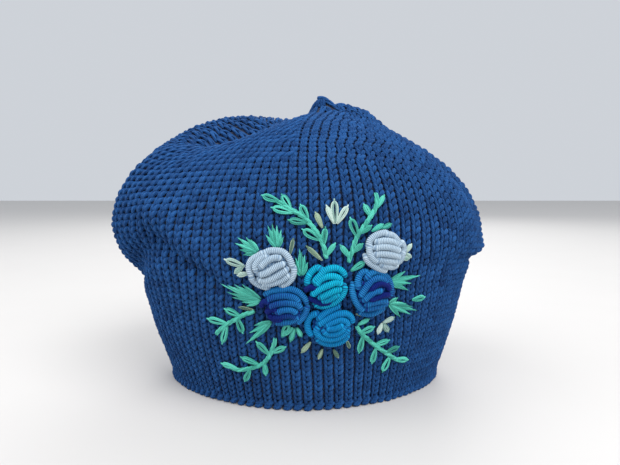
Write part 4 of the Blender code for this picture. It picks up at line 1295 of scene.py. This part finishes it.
    def sprays(self) -> list[FlossSpray]:
        """List the sprays, feather leaves and buds."""
        loom = self.loom
        loop, feather = LeafStitch.LOOP, LeafStitch.FEATHER
        mint = (Floss.MINT, "floss_mint")
        cream = (Floss.CREAM, "floss_cream")
        sage = (Floss.SAGE, "floss_mint")
        return [
            FlossSpray(loom, "spray_top_left", *mint, loop, (
                Leaf(-27, 45.5, -18, 42.5, 4.0),
                Leaf(-17, 46.0, -12, 38.5, 4.4),
                Leaf(-22, 39.5, -11, 37.0, 4.4),
                Leaf(-7.5, 41.0, -3.5, 33.5, 4.2),
                Leaf(-13.5, 33.5, -4.0, 32.0, 4.0),
                Leaf(-6.5, 29.0, 2.5, 23.5, 4.8),
                Leaf(5.0, 30.0, 4.0, 20.5, 3.6),
                Leaf(10.0, 22.0, 5.0, 15.0, 3.0),
            ), ((-19, 43), (-13, 39), (-6, 35), (0, 28.5), (4, 21), (5.5, 14))),
            FlossSpray(loom, "spray_top_right", *mint, loop, (
                Leaf(24.5, 41.0, 28.5, 34.5, 3.6),
                Leaf(35.5, 45.5, 31.5, 39.0, 3.0),
                Leaf(17.5, 34.5, 21.5, 24.5, 4.8),
                Leaf(28.5, 30.5, 22.0, 26.5, 3.4),
                Leaf(12.5, 21.0, 18.0, 14.0, 3.2),
                Leaf(24.0, 21.5, 18.5, 17.0, 3.4),
            ), ((31.5, 47), (31, 40), (27, 33.5), (21, 25), (18, 16), (16.5, 12))),
            FlossSpray(loom, "spray_left", *mint, loop, (
                Leaf(-47.5, -13.5, -39.0, -17.5, 4.2),
                Leaf(-57.5, -20.0, -46.5, -22.0, 4.4),
                Leaf(-38.0, -27.0, -41.0, -18.0, 4.2),
                Leaf(-50.0, -34.5, -46.5, -22.0, 4.2),
            ), ((-31, -14.5), (-37, -16.5), (-43, -20), (-48.5, -24), (-53.5, -29))),
            FlossSpray(loom, "spray_bottom_left", *mint, loop, (
                Leaf(-31.0, -31.5, -24.0, -39.5, 4.0),
                Leaf(-15.5, -34.0, -23.0, -38.0, 4.0),
                Leaf(-40.0, -41.5, -30.0, -45.5, 4.0),
                Leaf(-51.5, -47.0, -42.0, -49.5, 4.0),
                Leaf(-26.5, -52.0, -27.0, -44.0, 3.6),
                Leaf(-38.5, -57.0, -35.0, -49.0, 3.8),
            ), ((-20.5, -29), (-22, -34), (-25, -41), (-29, -45.5), (-36, -48.5), (-43, -50), (-49, -47))),
            FlossSpray(loom, "spray_bottom_right", *mint, loop, (
                Leaf(31.5, -24.0, 23.5, -27.5, 4.2),
                Leaf(23.5, -39.0, 25.5, -29.0, 3.8),
                Leaf(40.5, -33.0, 31.5, -35.5, 4.0),
                Leaf(31.0, -46.5, 33.0, -37.0, 3.8),
                Leaf(46.5, -38.0, 38.5, -41.0, 4.0),
                Leaf(37.5, -53.0, 41.5, -43.5, 4.6),
                Leaf(53.0, -48.0, 44.0, -46.0, 4.2),
            ), ((22.0, -22.5), (24, -27), (28, -31), (32, -35), (38, -40), (45, -46))),
            FlossSpray(loom, "feather_top", *mint, feather, fan(-19.2, 19.6, 2.6, (
                (-25, 26.4), (-23.9, 31), (-21.7, 32), (-19.2, 31.2), (-16.9, 29), (-15.8, 25.4),
            ))),
            FlossSpray(loom, "feather_upper_left", *mint, feather, fan(-28.6, 17.6, 2.6, (
                (-35, 25.2), (-39.4, 25), (-40.8, 22), (-38.6, 18.6), (-36.8, 15.8), (-32.4, 24),
            ))),
            FlossSpray(loom, "feather_left", *mint, feather, fan(-27.6, -7.6, 2.6, (
                (-49.4, 0.6), (-45.6, 0.4), (-41.6, 0.8), (-37.6, 1), (-46.6, -4.4), (-43.8, -7.4),
                (-38.4, -9.6), (-36, -12),
            ))),
            FlossSpray(loom, "feather_bottom_left", *mint, feather, fan(-22.6, -19.8, 2.6, (
                (-37.4, -33.9), (-33.8, -31.6), (-30.4, -29.2), (-35.2, -27), (-32.4, -22.4),
            ))),
            FlossSpray(loom, "feather_right", *mint, feather, fan(38.8, 1.2, 2.6, (
                (56.8, 3.2), (52.6, 3.6), (47.6, 6.4), (51.6, -1), (50.2, -5), (45, -3.6),
            ))),
            FlossSpray(loom, "feather_lower_right", *mint, feather, fan(38.8, -11.4, 2.6, (
                (56.6, -17.6), (52.6, -19.4), (46.4, -20.4), (49.6, -12.4), (44.4, -8),
                (53.6, -14.8),
            ))),
            FlossSpray(loom, "leaf_middle", *mint, feather, fan(-7, 5.4, 3.0, (
                (-7.9, 19.6), (-10, 15), (-5.2, 16.4), (-10.4, 11.4), (-3.6, 12.6), (-6.8, 18),
            ))),
            FlossSpray(loom, "bud_top", *cream, loop, (
                Leaf(5.5, 40.5, 9.5, 31.5, 3.2),
                Leaf(9.5, 43.5, 10.0, 31.5, 4.4),
                Leaf(16.5, 40.5, 10.8, 31.5, 3.8),
            )),
            FlossSpray(loom, "bud_left", *cream, loop, (
                Leaf(-46.0, 13.5, -35.6, 10.0, 4.2),
                Leaf(-41.0, 6.5, -36.5, 10.0, 3.4),
            )),
            FlossSpray(loom, "bud_right", *cream, loop, (
                Leaf(50.0, 20.5, 46.8, 16.0, 2.8),
                Leaf(50.0, 13.5, 46.8, 15.8, 2.6),
            )),
            FlossSpray(loom, "bud_lower_right", *cream, loop, (
                Leaf(39.5, -28.0, 36.3, -22.5, 3.6),
                Leaf(33.5, -28.5, 35.8, -22.5, 3.2),
                Leaf(42.5, -19.5, 36.0, -22.5, 3.2),
            )),
            FlossSpray(loom, "leaves_bottom", *mint, loop, (
                Leaf(-17.0, -27.5, -11.5, -23.0, 3.2),
                Leaf(-13.0, -31.0, -10.5, -23.0, 3.2),
                Leaf(-7.0, -28.0, -9.5, -23.0, 3.0),
            )),
            FlossSpray(loom, "stitches_mint", *mint, loop, (
                Leaf(34.5, 31.0, 28.5, 27.6, 3.0),
                Leaf(39.0, 31.0, 33.5, 28.8, 3.0),
                Leaf(60.0, -9.8, 52.4, -10.6, 4.0),
                Leaf(25.4, 12.4, 18.0, 7.6, 3.8),
                Leaf(28.4, -19.2, 22.6, -22.4, 3.0),
                Leaf(-13.6, -20.4, -17.4, -28.6, 4.4),
            )),
            FlossSpray(loom, "stitches_sage", *sage, loop, (
                Leaf(0.0, 37.2, 3.6, 29.6, 3.2),
                Leaf(-11.0, 24.4, -12.6, 16.6, 2.4),
                Leaf(-4.4, 20.6, 3.6, 13.2, 2.8),
                Leaf(-7.2, -37.4, -2.2, -31.2, 3.0),
                Leaf(1.8, -41.2, 4.0, -35.4, 2.6),
                Leaf(12.4, -41.0, 9.8, -36.0, 2.6),
                Leaf(18.4, -35.6, 16.8, -31.0, 2.2),
                Leaf(-39.8, -12.6, -32.0, -13.6, 2.0),
                Leaf(27.0, -16.6, 21.4, -16.2, 2.2),
            )),
            FlossSpray(loom, "stitches_cream", *cream, loop, (
                Leaf(-39.6, 5.4, -33.6, 6.6, 3.0),
                Leaf(49.0, 13.0, 44.6, 13.2, 2.8),
            )),
        ]

    def build(self) -> list[bpy.types.Object]:
        """Work and dress all the embroidery."""
        finishes = {floss: finish.material() for floss, finish in FLOSSES.items()}
        for part in [*self.roses(), *self.sprays()]:
            piece = part.build()
            piece.data.materials.append(finishes[part.floss])
            self.pieces.append(piece)
            LOG.info("%s: %d faces", piece.name, len(piece.data.polygons))
        return self.pieces


class Lamp(NamedTuple):
    """One soft light: where it hangs, how wide it is and how strong."""

    name: str
    place: tuple[float, float, float]
    size: float
    power: float


@dataclass(frozen=True)
class Studio:
    """The camera at the photograph's angle, a pale floor and soft light."""

    loom: Loom
    eye: tuple[float, float, float] = (0.0, -0.312, 0.125)
    pitch: float = 5.55
    focal_px: float = 468.0
    image_width_px: float = 620.0
    sensor: float = 36.0
    aim: tuple[float, float, float] = (0.0, 0.0, 0.09)
    floor_size: float = 8.0
    sky_colour: tuple[float, float, float, float] = (0.82, 0.86, 0.92, 1.0)
    sky_strength: float = 0.75
    lamps: tuple[Lamp, ...] = (
        Lamp("key", (0.7, -0.9, 1.5), 1.2, 26.0),
        Lamp("fill", (-0.8, -0.4, 1.3), 1.4, 12.0),
        Lamp("back", (0.2, 1.2, 1.0), 1.0, 8.0),
    )

    def add_camera(self) -> None:
        """Stand the camera where the photograph was taken."""
        data = bpy.data.cameras.new("camera")
        data.sensor_width = self.sensor
        data.lens = self.focal_px / self.image_width_px * self.sensor
        data.clip_start = 0.01
        camera = bpy.data.objects.new("camera", data)
        bpy.context.scene.collection.objects.link(camera)
        camera.location = Vector(self.eye) + Vector(self.loom.shift)
        camera.rotation_euler = (math.radians(90 - self.pitch), 0.0, 0.0)
        bpy.context.scene.camera = camera

    def add_floor(self) -> None:
        """Lay a wide pale floor."""
        bpy.ops.object.select_all(action="DESELECT")
        bpy.ops.mesh.primitive_plane_add(size=self.floor_size, location=(0.0, 0.0, 0.0))
        floor = bpy.context.object
        floor.name = "floor"
        sheet = ShaderSheet("floor_pale")
        grain = sheet.noise(14.0, 3.0, 0.5)
        sheet.set(base_color=sheet.mix(grain * 0.3, (0.62, 0.60, 0.58), (0.68, 0.66, 0.64)))
        sheet.set(roughness=0.6, metallic=0.0)
        floor.data.materials.append(sheet.material)

    def add_light(self, lamp: Lamp) -> None:
        """Hang one soft light that faces the hat."""
        data = bpy.data.lights.new(lamp.name, "AREA")
        data.energy = lamp.power
        data.size = lamp.size
        light = bpy.data.objects.new(lamp.name, data)
        bpy.context.scene.collection.objects.link(light)
        light.location = lamp.place
        aim = Vector(self.aim) - Vector(lamp.place)
        light.rotation_mode = "QUATERNION"
        light.rotation_quaternion = aim.to_track_quat("-Z", "Y")

    def build(self) -> None:
        """Set up the camera, floor, world and lights."""
        self.add_camera()
        self.add_floor()
        for lamp in self.lamps:
            self.add_light(lamp)
        world = bpy.data.worlds.new("studio")
        world.use_nodes = True
        background = world.node_tree.nodes["Background"]
        background.inputs["Color"].default_value = self.sky_colour
        background.inputs["Strength"].default_value = self.sky_strength
        bpy.context.scene.world = world
        bpy.context.scene.view_settings.view_transform = "Standard"


def main() -> None:
    """Build the knitting, the embroidery and the studio."""
    logging.basicConfig(level=logging.INFO, format="%(message)s")
    loom = Loom(HatForm())
    for piece in KnittedFabric(loom).build():
        LOG.info("%s: %d faces", piece.name, len(piece.data.polygons))
    Bouquet(loom).build()
    Studio(loom).build()


if __name__ == "__main__":
    main()
